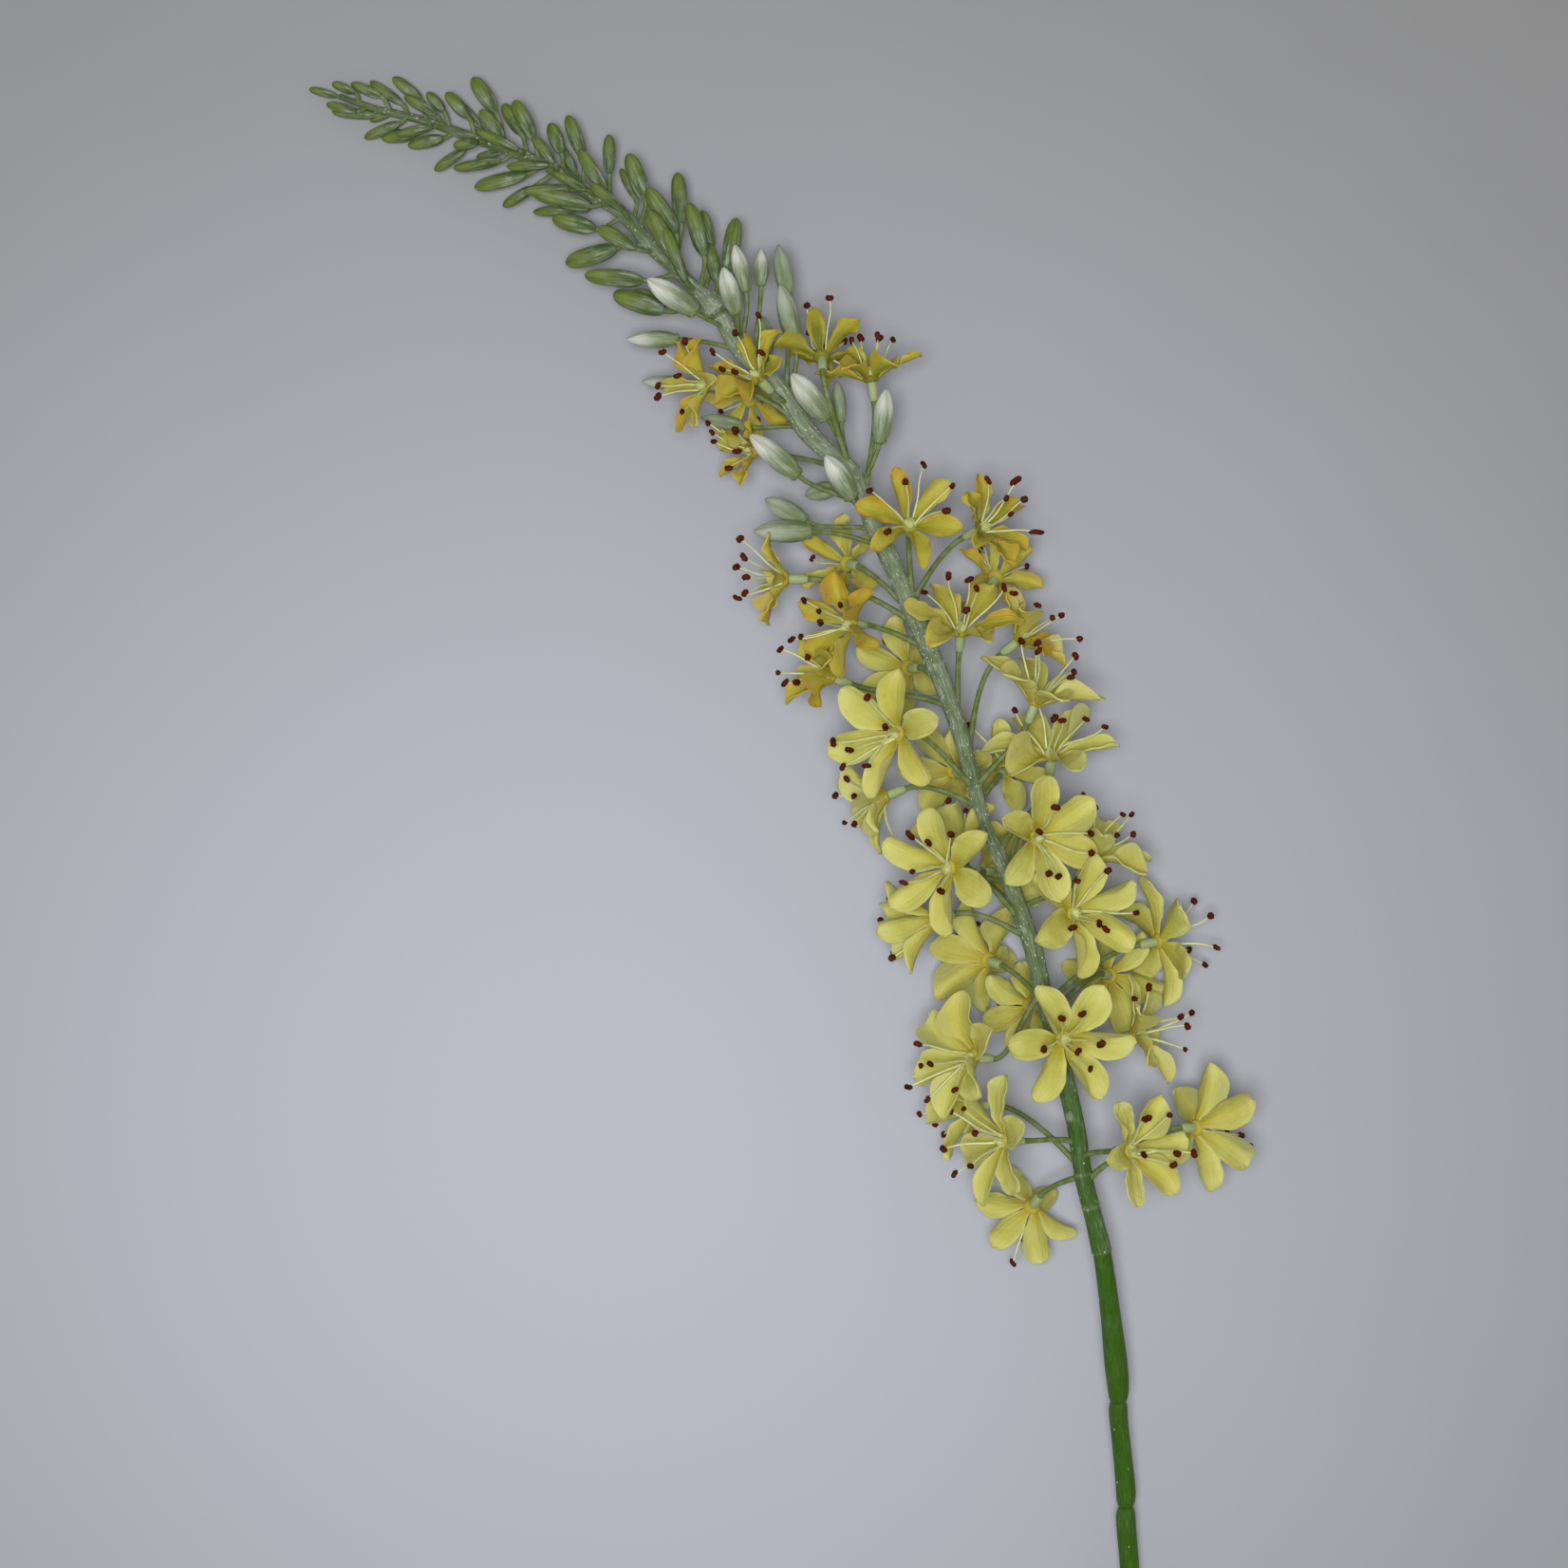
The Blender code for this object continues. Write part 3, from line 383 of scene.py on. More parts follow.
# Hub and petals as the solids have them, which the fine petals follow
HUB_RADIUS = 2.2
HUB_HEIGHT = 1.2
PETALS = 6
PETAL_TURN = 360 / PETALS
PETAL_STEPS = (0.36, 0.36, 0.28)
PETAL_RISES = (34, 19, 5)
PETAL_BEND_SHARES = (0.4, 0.9, 1.3)
PETAL_SWING_SHARES = (0.5, 1, 1)
PETAL_TIP_HALF_WIDTH = 0.13
PETAL_HALF_THICKNESS = 0.38
INNER_PETAL_RISE = 5
UPPER_BLOOMS_ABOVE = 35
UPPER_PETAL_WIDTH = 0.82
PETAL_BENDS = (0, 9, -9, 18, -18, 27, -27, 38, -38, 50, -50, 62)
PETAL_SWINGS = (0, 10, -10)
PETAL_SHARES = (1, 0.86, 0.72)

# How fully a petal takes the amber of its bloom, how its amber and olive vary, and how far its streaks
# may be shifted
AMBER_SHARES = (1.0, 0.8, 0.5, 0.3, 0.15)
AMBER_VARIATION = (0.8, 1.1)
OLIVE_VARIATION = (0.6, 1.2)
STREAK_SHIFT = 40

# Fine petals: rows from the hub to past the last knot, crowded towards the tip, and columns across; the
# half width at the foot as a share of the widest, how it grows from there and the least that it may be;
# and the square of the place across a petal that cupping leaves as it is
PETAL_KNOTS = (0, 0.36, 0.72, 1)
PETAL_ROWS = 18
PETAL_COLUMNS = 11
ROW_CROWDING = 1.25
PETAL_END = 1.04
PETAL_CLAW = 0.23
CLAW_CURVE = 1.25
LEAST_HALF_WIDTH = 0.02
CUPPING_DATUM = 0.25

# Midrib, and where along a petal its tip starts to curl; where across it an edge starts to roll up, and
# how far that edge moves inwards as a share of its rise
MIDRIB_DEPTH = 0.16
MIDRIB_WIDTH = 0.14
TIP_CURL_FROM = 0.68
ROLL_FROM = 0.35
ROLL_INWARD = 0.35

# Waves of a petal's edges: how often the broad and the fine ones come, the height of the fine ones as a
# share of the broad ones, and how much stronger both are on the upper blooms
BROAD_WAVES = 1.4
FINE_WAVES = 3.3
FINE_WAVE_SHARE = 0.45
UPPER_RIPPLE = 2.0

# What differs from petal to petal, from least to most: where it is widest, how square and how round its
# tip is, its width, cupping and ripple as shares of the usual ones, its sideways bow and tip curl in
# millimetres, its twist in degrees, and how far one edge rolls up as a share of the half width
PETAL_PEAK = (0.56, 0.7)
TIP_SQUARENESS = (1.9, 2.8)
TIP_ROUNDNESS = (0.52, 0.85)
WIDTH_SHARE = (0.9, 1.1)
CUPPING_SHARE = (0.45, 1.4)
RIPPLE_SHARE = (0.8, 1.7)
PETAL_BOW = (-0.5, 0.5)
TIP_CURL = (-1.1, 1.5)
PETAL_TWIST = (-11, 11)
EDGE_ROLL = (-0.5, 1.5)
PetalShape = namedtuple(
    "PetalShape",
    "peak squareness roundness widest cupping ripple phases twist bow curl roll roll_side amber olive deepness seed",
)

# Hub and the lobed boss in its middle: height along the way that the bloom faces, and radius
HUB_PROFILE = ((-0.3, 1.3), (0, 1.9), (0.5, 2.35), (1.1, 2.3), (1.5, 1.7), (1.6, 0.9))
BOSS_PROFILE = ((1.3, 1.3), (1.9, 1.6), (2.5, 1.45), (3.0, 0.95), (3.3, 0.4), (3.9, 0.2))
BOSS_LOBES = 3
BOSS_LOBE_DEPTH = 0.12
LATHE_SIDES = 12

# Colours of hub and boss: how fully they take the amber of their bloom, how deep their gold is, and the
# place along a petal that they are coloured like
CORE_AMBER = 0.2
CORE_DEEPNESS = 0.5
CORE_ALONG = 0.08

# Stamens as the solids have them, and how near a corner has to be to one of the solid's own
STAMEN_FOOT = 0.55
ANTHER_MIDDLE = 0.93
STAMEN_LEANS = (31, 23, 39, 15, 46, 8)
STAMEN_TURNS = (0, 15, -15)
STAMEN_SHARES = (1, 0.8, 0.6)
FACE_DOWN_RISE = -25
MATCH_DISTANCE = 0.05

# Pose of the stamens that a bloom facing the ground lacks in the solids
UNSEEN_POSE = (0.8, 0, 15)

# Search for the point where an anther stands: how often its height is worked out anew, its least rise as
# a share of the stamen's length, and its least height above the ground
SPOT_ROUNDS = 3
LEAST_SPOT_RISE = 0.1
LEAST_SPOT_HEIGHT = 1

# Filaments: how deep they sink into the hub, their girth by share of the way, how far they bow, how slim
# those of the upper blooms are, and how far and how often they wave. A bloom's number is added to the seed.
STAMEN_SEED = 100
FILAMENT_SIDES = 6
FILAMENT_SINK = 0.5
FILAMENT_STEPS = 8
FILAMENT_GIRTHS = ((0, 1.35), (0.3, 1.05), (0.8, 0.75), (1, 0.6))
FILAMENT_BOW = 0.45
UPPER_FILAMENT = 0.78
FILAMENT_WAVE = (0.05, 0.32)
FILAMENT_WAVES = 1.1

# Anthers: how far they lean off their filament, how far they tumble about its end in radians, and their
# width, flatness and length as shares of the usual ones
ANTHER_LEAN = 0.35
ANTHER_TUMBLE = (1.1, 1.1, 3.1)
ANTHER_WIDTHS = (0.8, 1.15)
ANTHER_FLATNESS = (0.85, 1)
ANTHER_LENGTHS = (0.8, 1.2)

# Unit shapes, with length 1 along z: height and radius
GREEN_BUD_PROFILE = (
    (0, 0.3),
    (0.04, 0.5),
    (0.12, 0.74),
    (0.25, 0.93),
    (0.42, 1.0),
    (0.6, 0.99),
    (0.75, 0.92),
    (0.86, 0.78),
    (0.94, 0.55),
    (0.985, 0.28),
    (1, 0.08),
)
WHITE_BUD_PROFILE = (
    (0, 0.24),
    (0.03, 0.46),
    (0.1, 0.66),
    (0.22, 0.9),
    (0.38, 1.0),
    (0.55, 0.98),
    (0.7, 0.87),
    (0.82, 0.68),
    (0.92, 0.42),
    (0.98, 0.2),
    (1, 0.06),
)
RIM_PROFILE = ((0.0, 0.3), (0.02, 0.56), (0.06, 0.7), (0.075, 0.66), (0.05, 0.5))
ANTHER_PROFILE = ((-0.5, 0.2), (-0.42, 0.6), (-0.2, 0.98), (0.05, 0.92), (0.28, 0.95), (0.43, 0.6), (0.5, 0.2))
FLECK_PROFILE = ((-0.05, 0.4), (0.08, 0.36), (0.12, 0.15))

# Buds: sides, least flatness and dust of each kind, the green buds' dust also standing for a painted sheen; how many
# seams they have, how far these swirl round them, how wide they are and how soon they are at their full depth
GREEN_BUD_SIDES = 12
GREEN_BUD_FLATNESS = 0.7
GREEN_BUD_DUST_AND_SHEEN = 1.0
WHITE_BUD_SIDES = 24
WHITE_BUD_FLATNESS = 0.9
WHITE_BUD_DUST = 0.85
BUD_SEAMS = 3
BUD_SWIRL = 0.5
SEAM_WIDTH = 0.3
SEAM_RISE = 6

# Ragged rim at the foot of a white bud: its teeth, how far they stand out, and how dark it is
RIM_TEETH = 7
RIM_TOOTH = 0.5
RIM_SEAM = 0.3

# Anthers: how uneven they are round their axis and how fast that turns along it, how deep they are dented
# and how far they are bowed
ANTHER_SIDES = 8
ANTHER_UNEVENNESS = 0.13
ANTHER_WARP = 11
ANTHER_DENT = 0.22
ANTHER_BOW = 0.22

# Flecks of powder: how uneven their outline is, how many there are to a square metre of full powder, how
# far each turns from the stem's length in radians, and their least and greatest sizes along, across and
# off the stem, as shares of the fleck's length
FLECK_SIDES = 6
FLECK_UNEVENNESS = 0.25
FLECK_DENSITY = 330000.0
FLECK_SEED = 4
FLECK_WANDER = 0.5
FLECK_SIZES = ((0.5, 0.4, 0.6), (1.9, 1.1, 1.2))

# Edges sharper than this, in degrees, aren't smoothed.
SHARP_ANGLE = 55

# Stage: where the lamp stands from the middle of the spike, and where in the layout the floor's painted pool of light
# is brightest, with the distance over which that painted light fades to the floor's painted shade; the colour of the
# even light, and how far the camera sees, in metres
KEY_PLACE = (-60, -60, 1700)
FLOOR_PAINTED_LIGHT_SPOT = (-44, -90)
FLOOR_PAINTED_LIGHT_FADE = 430
SKY_COLOUR = (250, 249, 250)
CAMERA_REACH = 10

# Names of what is kept at the points of a mesh for its material and its node trees
GIRTH = "girth"
ALONG = "along"
ROUND = "round"
COVER = "cover"
TINT = "tint"
SEAM = "seam"
WAY = "way"
SIZE = "size"
ROLL = "roll"
TIP = "tip"


def paint(red, green, blue):
    """Linear colour of an everyday 0 to 255 one."""
    return tuple(
        value / 12.92 if value <= 0.04045 else ((value + 0.055) / 1.055) ** 2.4
        for value in (red / 255, green / 255, blue / 255)
    )


def colour_property(name, description, default):
    """Property that holds a colour."""
    return bpy.props.FloatVectorProperty(
        name=name, description=description, default=paint(*default), size=3, min=0, max=1, subtype="COLOR"
    )


def share_property(name, description, default):
    """Property that holds a share from 0 to 1."""
    return bpy.props.FloatProperty(
        name=name, description=description, default=default, min=0, max=1, subtype="FACTOR"
    )


def length_property(name, description, default):
    """Property that holds a length, given in millimetres."""
    return bpy.props.FloatProperty(
        name=name, description=description, default=default * MM, min=0, unit="LENGTH", subtype="DISTANCE"
    )


class PetalSettings(bpy.types.PropertyGroup):
    """Shape and colours of the petals."""

    widest: share_property("Widest", "Half of a petal's greatest width as a share of its length", 0.27)
    thickness: length_property("Thickness", "Thickness of the petal cloth", 0.4)
    cupping: share_property("Cupping", "How far the edges rise, as a share of the half width", 0.42)
    ripple: length_property("Ripple", "How far the edges wave up and down", 0.35)
    lemon: colour_property("Lemon", "Colour of the petals of the lower blooms", (200, 202, 112))
    pale: colour_property("Pale", "Colour that a lemon petal reaches at its edges", (226, 230, 152))
    golden: colour_property("Golden", "Colour of a petal's foot", (188, 170, 50))
    mustard: colour_property("Mustard", "Colour of the petals of the upper blooms", (192, 184, 60))
    amber: colour_property("Amber", "Colour that the upper petals turn to at their tips", (196, 126, 32))
    olive: colour_property("Olive", "Colour that the upper petals have near their foot", (98, 106, 20))
    boss: colour_property("Boss", "Colour of the small lobed boss between the stamens", (200, 205, 130))


class StamenSettings(bpy.types.PropertyGroup):
    """Sizes and colours of the stamens."""

    filament: length_property("Filament", "Radius of a filament at its middle", 0.33)
    anther_radius: length_property("Anther radius", "Radius of an anther", 0.9)
    anther_length: length_property("Anther length", "Length of an anther", 2.3)
    filament_colour: colour_property("Filament colour", "Colour of the filaments", (216, 221, 154))
    anther_colour: colour_property("Anther colour", "Colour of the anthers", (92, 30, 4))


class StalkSettings(bpy.types.PropertyGroup):
    """Colours of the stem and the side stalks."""

    stem_sides: bpy.props.IntProperty(
        name="Stem sides", description="How many sides the round stem is made of", default=24, min=6, max=64
    )
    fresh: colour_property("Fresh green", "Colour of the bare lower stem", (56, 100, 2))
    greyed: colour_property("Grey green", "Colour of the stem under the powder", (112, 128, 86))
    powder: colour_property("Powder", "Colour of the pale powder on the stem", (176, 186, 168))
    side: colour_property("Side stalks", "Colour of the side stalks", (106, 124, 50))
    receptacle: colour_property("Receptacle", "Colour of the swollen end that carries a bloom", (160, 176, 120))
    fleck: length_property("Fleck", "Length of a fleck of powder", 0.55)
    fleck_colour: colour_property("Fleck colour", "Colour of the flecks of powder", (206, 212, 200))


class BudSettings(bpy.types.PropertyGroup):
    """Shape and colours of the buds."""

    seam_depth: share_property("Seam depth", "Depth of the seams between the closed petals", 0.1)
    green: colour_property("Green", "Colour of the green buds", (76, 98, 32))
    green_tip: colour_property("Green tip", "Colour of the tips of the green buds", (110, 126, 46))
    green_foot: colour_property("Green foot", "Colour of the feet of the green buds", (86, 108, 58))
    bloomy: colour_property("Greyed", "Colour of the middle of the white buds", (120, 136, 100))
    white: colour_property("White", "Colour of the tips of the white buds", (222, 224, 212))
    white_foot: colour_property("White foot", "Colour of the feet of the white buds", (128, 146, 88))


class StageSettings(bpy.types.PropertyGroup):
    """Floor, light and camera."""

    # The floor's two colours paint a pool of light: the bright colour at one spot, fading to a painted shade farther
    # off.
    floor: colour_property("Floor", "Colour of the floor at its brighter end", (188, 191, 202))
    floor_painted_shade: colour_property("Floor shade", "Colour of the floor at its darker end", (142, 142, 142))
    floor_size: length_property("Floor size", "Length of each side of the floor", 3000)
    key_power: bpy.props.FloatProperty(
        name="Key light", description="Power of the large lamp above", default=20.5, min=0, unit="POWER"
    )
    key_size: length_property("Key light size", "Diameter of the large lamp", 400)
    sky_strength: bpy.props.FloatProperty(
        name="Sky", description="Strength of the even light from all round", default=0.29, min=0
    )
    eye_height: length_property("Eye height", "Height of the camera above the floor", EYE_HEIGHT)
    lens: bpy.props.FloatProperty(
        name="Lens", description="Focal length of the camera", default=101.6, min=1, unit="CAMERA"
    )


def laid(x, y, height):
    """Turns a layout position into a point of the part, in millimetres."""
    sight = (EYE_HEIGHT - height) / (EYE_HEIGHT - LAYOUT_HEIGHT)
    return Vector((x * sight + SHIFT_X, y * sight + SHIFT_Y, height))


def compass_vector(compass, rise):
    """Unit vector at a compass angle from +X, raised from the level by an angle."""
    around = math.radians(compass)
    up = math.radians(rise)
    return Vector((math.cos(up) * math.cos(around), math.cos(up) * math.sin(around), math.sin(up)))


def stalk_at_level(y):
    """Point and direction of the stalk's axis where its layout y has the given value."""
    for (x0, y0, height0, _), (x1, y1, height1, _) in zip(STALK, STALK[1:]):
        if y0 <= y <= y1:
            share = (y - y0) / (y1 - y0)
            point = laid(x0 + share * (x1 - x0), y, height0 + share * (height1 - height0))
            return point, (laid(x1, y1, height1) - laid(x0, y0, height0)).normalized()
    raise ValueError(f"the stalk has no level {y}")


def nearest_level(x, y):
    """Distance of a layout position from the stalk's axis, and the layout y of the nearest point on it."""
    spot = Vector((x, y))
    found = []
    for (x0, y0, _, _), (x1, y1, _, _) in zip(STALK, STALK[1:]):
        start = Vector((x0, y0))
        run = Vector((x1, y1)) - start
        share = min(max((spot - start).dot(run) / run.length_squared, 0), 1)
        nearest = start + share * run
        found.append(((nearest - spot).length, nearest.y))
    return min(found)


def between(table, place):
    """Value at a place in a table of (place, value) rows, on straight lines between them."""
    if place <= table[0][0]:
        return table[0][1]
    for (low, value0), (high, value1) in zip(table, table[1:]):
        if place <= high:
            return value0 + (value1 - value0) * (place - low) / (high - low)
    return table[-1][1]


def on_curve(knots, values, place):
    """Value at a place on a smooth curve through the values at the knots."""
    last = len(knots) - 1
    step = next((i for i in range(last) if place < knots[i + 1]), last - 1)
    slopes = []
    for i in (step, step + 1):
        low, high = max(i - 1, 0), min(i + 1, last)
        slopes.append((values[high] - values[low]) / (knots[high] - knots[low]))
    span = knots[step + 1] - knots[step]
    t = (place - knots[step]) / span
    return (
        (2 * t**3 - 3 * t**2 + 1) * values[step]
        + (t**3 - 2 * t**2 + t) * span * slopes[0]
        + (3 * t**2 - 2 * t**3) * values[step + 1]
        + (t**3 - t**2) * span * slopes[1]
    )


def smooth_path(start, start_way, end, end_way, steps):
    """Points between two ends along a curve that leaves and arrives in the given directions."""
    pull = PATH_PULL * (end - start).length
    points = []
    for step in range(steps + 1):
        t = step / steps
        blend = (
            (2 * t**3 - 3 * t**2 + 1) * start
            + (t**3 - 2 * t**2 + t) * pull * start_way
            + (3 * t**2 - 2 * t**3) * end
            + (t**3 - t**2) * pull * end_way
        )
        points.append(blend)
    return points


def bloom_frame(bloom):
    """Back of the hub, the way it faces, and two directions across it with the first petal's angle."""
    facing = compass_vector(bloom.compass, bloom.rise)
    upward = (Vector((0, 0, 1)) - facing.z * facing).normalized()
    if bloom.rise < 0:
        first = bloom.compass + 90 - bloom.first
    else:
        first = bloom.first - bloom.compass - 90
    return BloomFrame(laid(bloom.x, bloom.y, bloom.height), facing, upward.cross(facing), upward, first)


def outward(own, angle):
    """Direction across the bloom at an angle round its axis."""
    turn = math.radians(angle)
    return math.cos(turn) * own.sideways + math.sin(turn) * own.upward


def petal_line(bloom, number, share, swing, bend):
    """Middles of the solid petal's four rings, with the directions across and through each."""
    own = bloom_frame(bloom)
    angle = own.first + PETAL_TURN * number
    out = outward(own, angle)
    centre = own.hub + HUB_RADIUS * math.cos(math.radians(PETAL_TURN / 2)) * out + HUB_HEIGHT / 2 * own.facing
    line = [(centre, own.facing.cross(out), own.facing)]
    length = bloom.petal * share
    standing = bloom.cup + INNER_PETAL_RISE * (number % 2)
    for step, rise, bend_share, swing_share in zip(PETAL_STEPS, PETAL_RISES, PETAL_BEND_SHARES, PETAL_SWING_SHARES):
        out = outward(own, angle + swing * swing_share)
        across = own.facing.cross(out)
        slope = math.radians(rise + standing + bend * bend_share)
        way = math.cos(slope) * out + math.sin(slope) * own.facing
        centre = centre + step * length * way
        line.append((centre, across, way.cross(across)))
    return line


def petal_width(bloom, share):
    """Length that a petal's width is a share of: its own length, narrowed on the upper blooms."""
    return bloom.petal * share * (UPPER_PETAL_WIDTH if bloom.y > UPPER_BLOOMS_ABOVE else 1)


def petal_end_corners(bloom, number, share, swing, bend):
    """The four corners at the end of a solid petal."""
    centre, across, through = petal_line(bloom, number, share, swing, bend)[-1]
    wide = PETAL_TIP_HALF_WIDTH * petal_width(bloom, share) * across
    thick = PETAL_HALF_THICKNESS * through
    return [centre + a * wide + b * thick for a, b in product((-1, 1), (-1, 1))]


def stamen_line(bloom, number, share, turn, lean):
    """Foot of a stamen, the way that it points, and its length."""
    own = bloom_frame(bloom)
    angle = own.first + PETAL_TURN * number
    foot = own.hub + HUB_HEIGHT * own.facing + STAMEN_FOOT * HUB_RADIUS * outward(own, angle)
    slope = math.radians(lean)
    way = math.cos(slope) * own.facing + math.sin(slope) * outward(own, angle + turn)
    return foot, way, bloom.petal * share


def stamen_end(bloom, number, share, turn, lean):
    """The point at the end of a solid stamen, as a list."""
    foot, way, length = stamen_line(bloom, number, share, turn, lean)
    return [foot + length * way]


def node_name(index):
    """Name of a bloom's CAD node."""
    return f"bloom_{index + 1:02d}"


def node_corners(name):
    """Search tree of a CAD node's corners, in millimetres."""
    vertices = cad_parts[name].data.vertices
    tree = KDTree(len(vertices))
    for vertex in vertices:
        tree.insert(vertex.co / MM, vertex.index)
    tree.balance()
    return tree


def solid_pose(bloom, number, corners, poses, ends):
    """The pose that a solid petal or stamen has among all that it may have, or none if it isn't there."""
    for pose in poses:
        if all(corners.find(end)[2] < MATCH_DISTANCE for end in ends(bloom, number, *pose)):
            return pose
    return None


def lengths_along(points):
    """Length along a line from its first point to each of its points, in metres."""
    alongs = [0]
    for low, high in zip(points, points[1:]):
        alongs.append(alongs[-1] + (high - low).length * MM)
    return alongs


def girths_along(table, steps):
    """Girths of a stalk's points, from a table of girths by share of the way."""
    return [between(table, step / steps) for step in range(steps + 1)]


def turns(sides):
    """Angles of the corners of a ring."""
    return [2 * math.pi * side / sides for side in range(sides)]


def unit_point(turn, reach, height, aside=0.0):
    """Point of a unit shape at an angle round its axis, so large that a draft's mesh has it in whole units."""
    return Vector((reach * math.cos(turn) + aside, reach * math.sin(turn), height)) / MM


class Draft:
    """Points, lines and skins of a mesh in the making, in millimetres, with values kept at its points."""

    def __init__(self):
        self.points = []
        self.edges = []
        self.faces = []
        self.kinds = []
        self.marks = {}

    def add_points(self, points, marks):
        """Adds points with a list of values for each mark, and returns the number of the first."""
        start = len(self.points)
        self.points += points
        for name, values in marks.items():
            self.marks.setdefault(name, []).extend(values)
        return start

    def add_line(self, points, **marks):
        """Adds a line through points."""
        start = self.add_points(points, marks)
        self.edges += [(start + step, start + step + 1) for step in range(len(points) - 1)]

    def add_skin(self, rings, kind=0, **marks):
        """Adds a closed skin through rings that turn anticlockwise seen from the last one."""
        around = len(rings[0])
        start = self.add_points([point for ring in rings for point in ring], marks)
        before = len(self.faces)
        for step in range(len(rings) - 1):
            low = start + step * around
            for side in range(around):
                following = (side + 1) % around
                self.faces.append((low + side, low + following, low + around + following, low + around + side))
        self.faces.append(tuple(start + side for side in reversed(range(around))))
        end = start + (len(rings) - 1) * around
        self.faces.append(tuple(end + side for side in range(around)))
        self.kinds += [kind] * (len(self.faces) - before)

    def mesh(self, name, materials=()):
        """Makes the mesh, in metres."""
        mesh = bpy.data.meshes.new(name)
        mesh.from_pydata([point * MM for point in self.points], self.edges, self.faces)
        for mark, values in self.marks.items():
            if isinstance(values[0], (int, float)):
                layer, key, flat = mesh.attributes.new(mark, "FLOAT", "POINT"), "value", values
            else:
                layer, key = mesh.attributes.new(mark, "FLOAT_VECTOR", "POINT"), "vector"
                flat = [part for value in values for part in value]
            layer.data.foreach_set(key, flat)
        for material in materials:
            mesh.materials.append(material)
        if self.kinds:
            mesh.polygons.foreach_set("material_index", self.kinds)
        return mesh


def linked(name, data):
    """Adds an object for a mesh, lamp or camera to the scene."""
    made = bpy.data.objects.new(name, data)
    bpy.context.scene.collection.objects.link(made)
    return made


def new_piece(name, mesh):
    """Adds an object for a mesh, smooth between sharp edges."""
    mesh.name = name
    mesh.shade_smooth()
    mesh.set_sharp_from_angle(angle=math.radians(SHARP_ANGLE))
    return linked(name, mesh)


def shape_object(mesh):
    """Object that a tree takes its repeated shape from. It isn't linked to the scene."""
    mesh.shade_smooth()
    return bpy.data.objects.new(mesh.name, mesh)


def hand_over(piece, node):
    """Lets a piece stand for a CAD node: puts it under the body and hides the node."""
    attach(piece, BODY)
    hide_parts(node)


def add_node(tree, kind, inputs=None, **settings):
    """Adds a node with its settings, and links its inputs or sets their values."""
    made = tree.nodes.new(kind)
    for name, value in settings.items():
        setattr(made, name, value)
    for key, value in (inputs or {}).items():
        if isinstance(value, bpy.types.NodeSocket):
            tree.links.new(value, made.inputs[key])
        else:
            made.inputs[key].default_value = value
    return made


def new_tree(kind, name, inputs, output):
    """Makes a node tree with named inputs and one output, and returns it with the sockets at its two ends."""
    tree = bpy.data.node_groups.new(name, kind)
    for in_out, sockets in (("INPUT", inputs), ("OUTPUT", (output,))):
        for label, socket_type, *default in sockets:
            socket = tree.interface.new_socket(name=label, in_out=in_out, socket_type=socket_type)
            if default:
                socket.default_value = default[0]
    return tree, tree.nodes.new("NodeGroupInput").outputs, tree.nodes.new("NodeGroupOutput").inputs[0]


def run_tree(tree, mesh, values):
    """Runs a geometry tree on a mesh and returns what it makes as a plain mesh."""
    holder = linked(tree.name, mesh)
    modifier = holder.modifiers.new(tree.name, "NODES")
    modifier.node_group = tree
    for item in tree.interface.items_tree:
        if item.item_type == "SOCKET" and item.in_out == "INPUT" and item.name in values:
            modifier[item.identifier] = values[item.name]
    depsgraph = bpy.context.evaluated_depsgraph_get()
    evaluated = holder.evaluated_get(depsgraph)
    made = bpy.data.meshes.new_from_object(evaluated, preserve_all_data_layers=True, depsgraph=depsgraph)
    holder.modifiers.clear()
    bpy.data.objects.remove(holder)
    return made


def named(tree, name, data_type):
    """Output of a node that reads what is kept at the points."""
    return add_node(tree, "GeometryNodeInputNamedAttribute", {"Name": name}, data_type=data_type).outputs["Attribute"]


def round_skin(tree, guides, sides, thickness):
    """Adds the nodes that give guide lines a round closed skin, marked with each point's place round it."""
    girth = add_node(tree, "ShaderNodeMath", {0: named(tree, GIRTH, "FLOAT"), 1: thickness}, operation="MULTIPLY")
    lines = add_node(tree, "GeometryNodeMeshToCurve", {"Mesh": guides})
    ring = add_node(tree, "GeometryNodeCurvePrimitiveCircle", {"Resolution": sides, "Radius": 1})
    position = add_node(tree, "GeometryNodeInputPosition")
    marked = add_node(
        tree,
        "GeometryNodeStoreNamedAttribute",
        {"Geometry": ring.outputs["Curve"], "Name": ROUND, "Value": position.outputs["Position"]},
        data_type="FLOAT_VECTOR",
        domain="POINT",
    )
    skin = add_node(
        tree,
        "GeometryNodeCurveToMesh",
        {
            "Curve": lines.outputs["Curve"],
            "Profile Curve": marked.outputs["Geometry"],
            "Scale": girth.outputs["Value"],
            "Fill Caps": True,
        },
    )
    return lines.outputs["Curve"], skin.outputs["Mesh"]


def set_material(tree, geometry, material):
    """Adds the node that gives a geometry its material."""
    inputs = {"Geometry": geometry, "Material": material}
    return add_node(tree, "GeometryNodeSetMaterial", inputs).outputs["Geometry"]


def stalks_tree():
    """Tree that turns guide lines into round stalks."""
    tree, given, result = new_tree(
        "GeometryNodeTree",
        "Round stalks",
        (
            ("Guides", "NodeSocketGeometry"),
            ("Sides", "NodeSocketInt", 12),
            ("Thickness", "NodeSocketFloat", MM),
            ("Material", "NodeSocketMaterial"),
        ),
        ("Stalks", "NodeSocketGeometry"),
    )
    _, skin = round_skin(tree, given["Guides"], given["Sides"], given["Thickness"])
    real = add_node(tree, "GeometryNodeRealizeInstances", {"Geometry": skin})
    tree.links.new(set_material(tree, real.outputs["Geometry"], given["Material"]), result)
    return tree


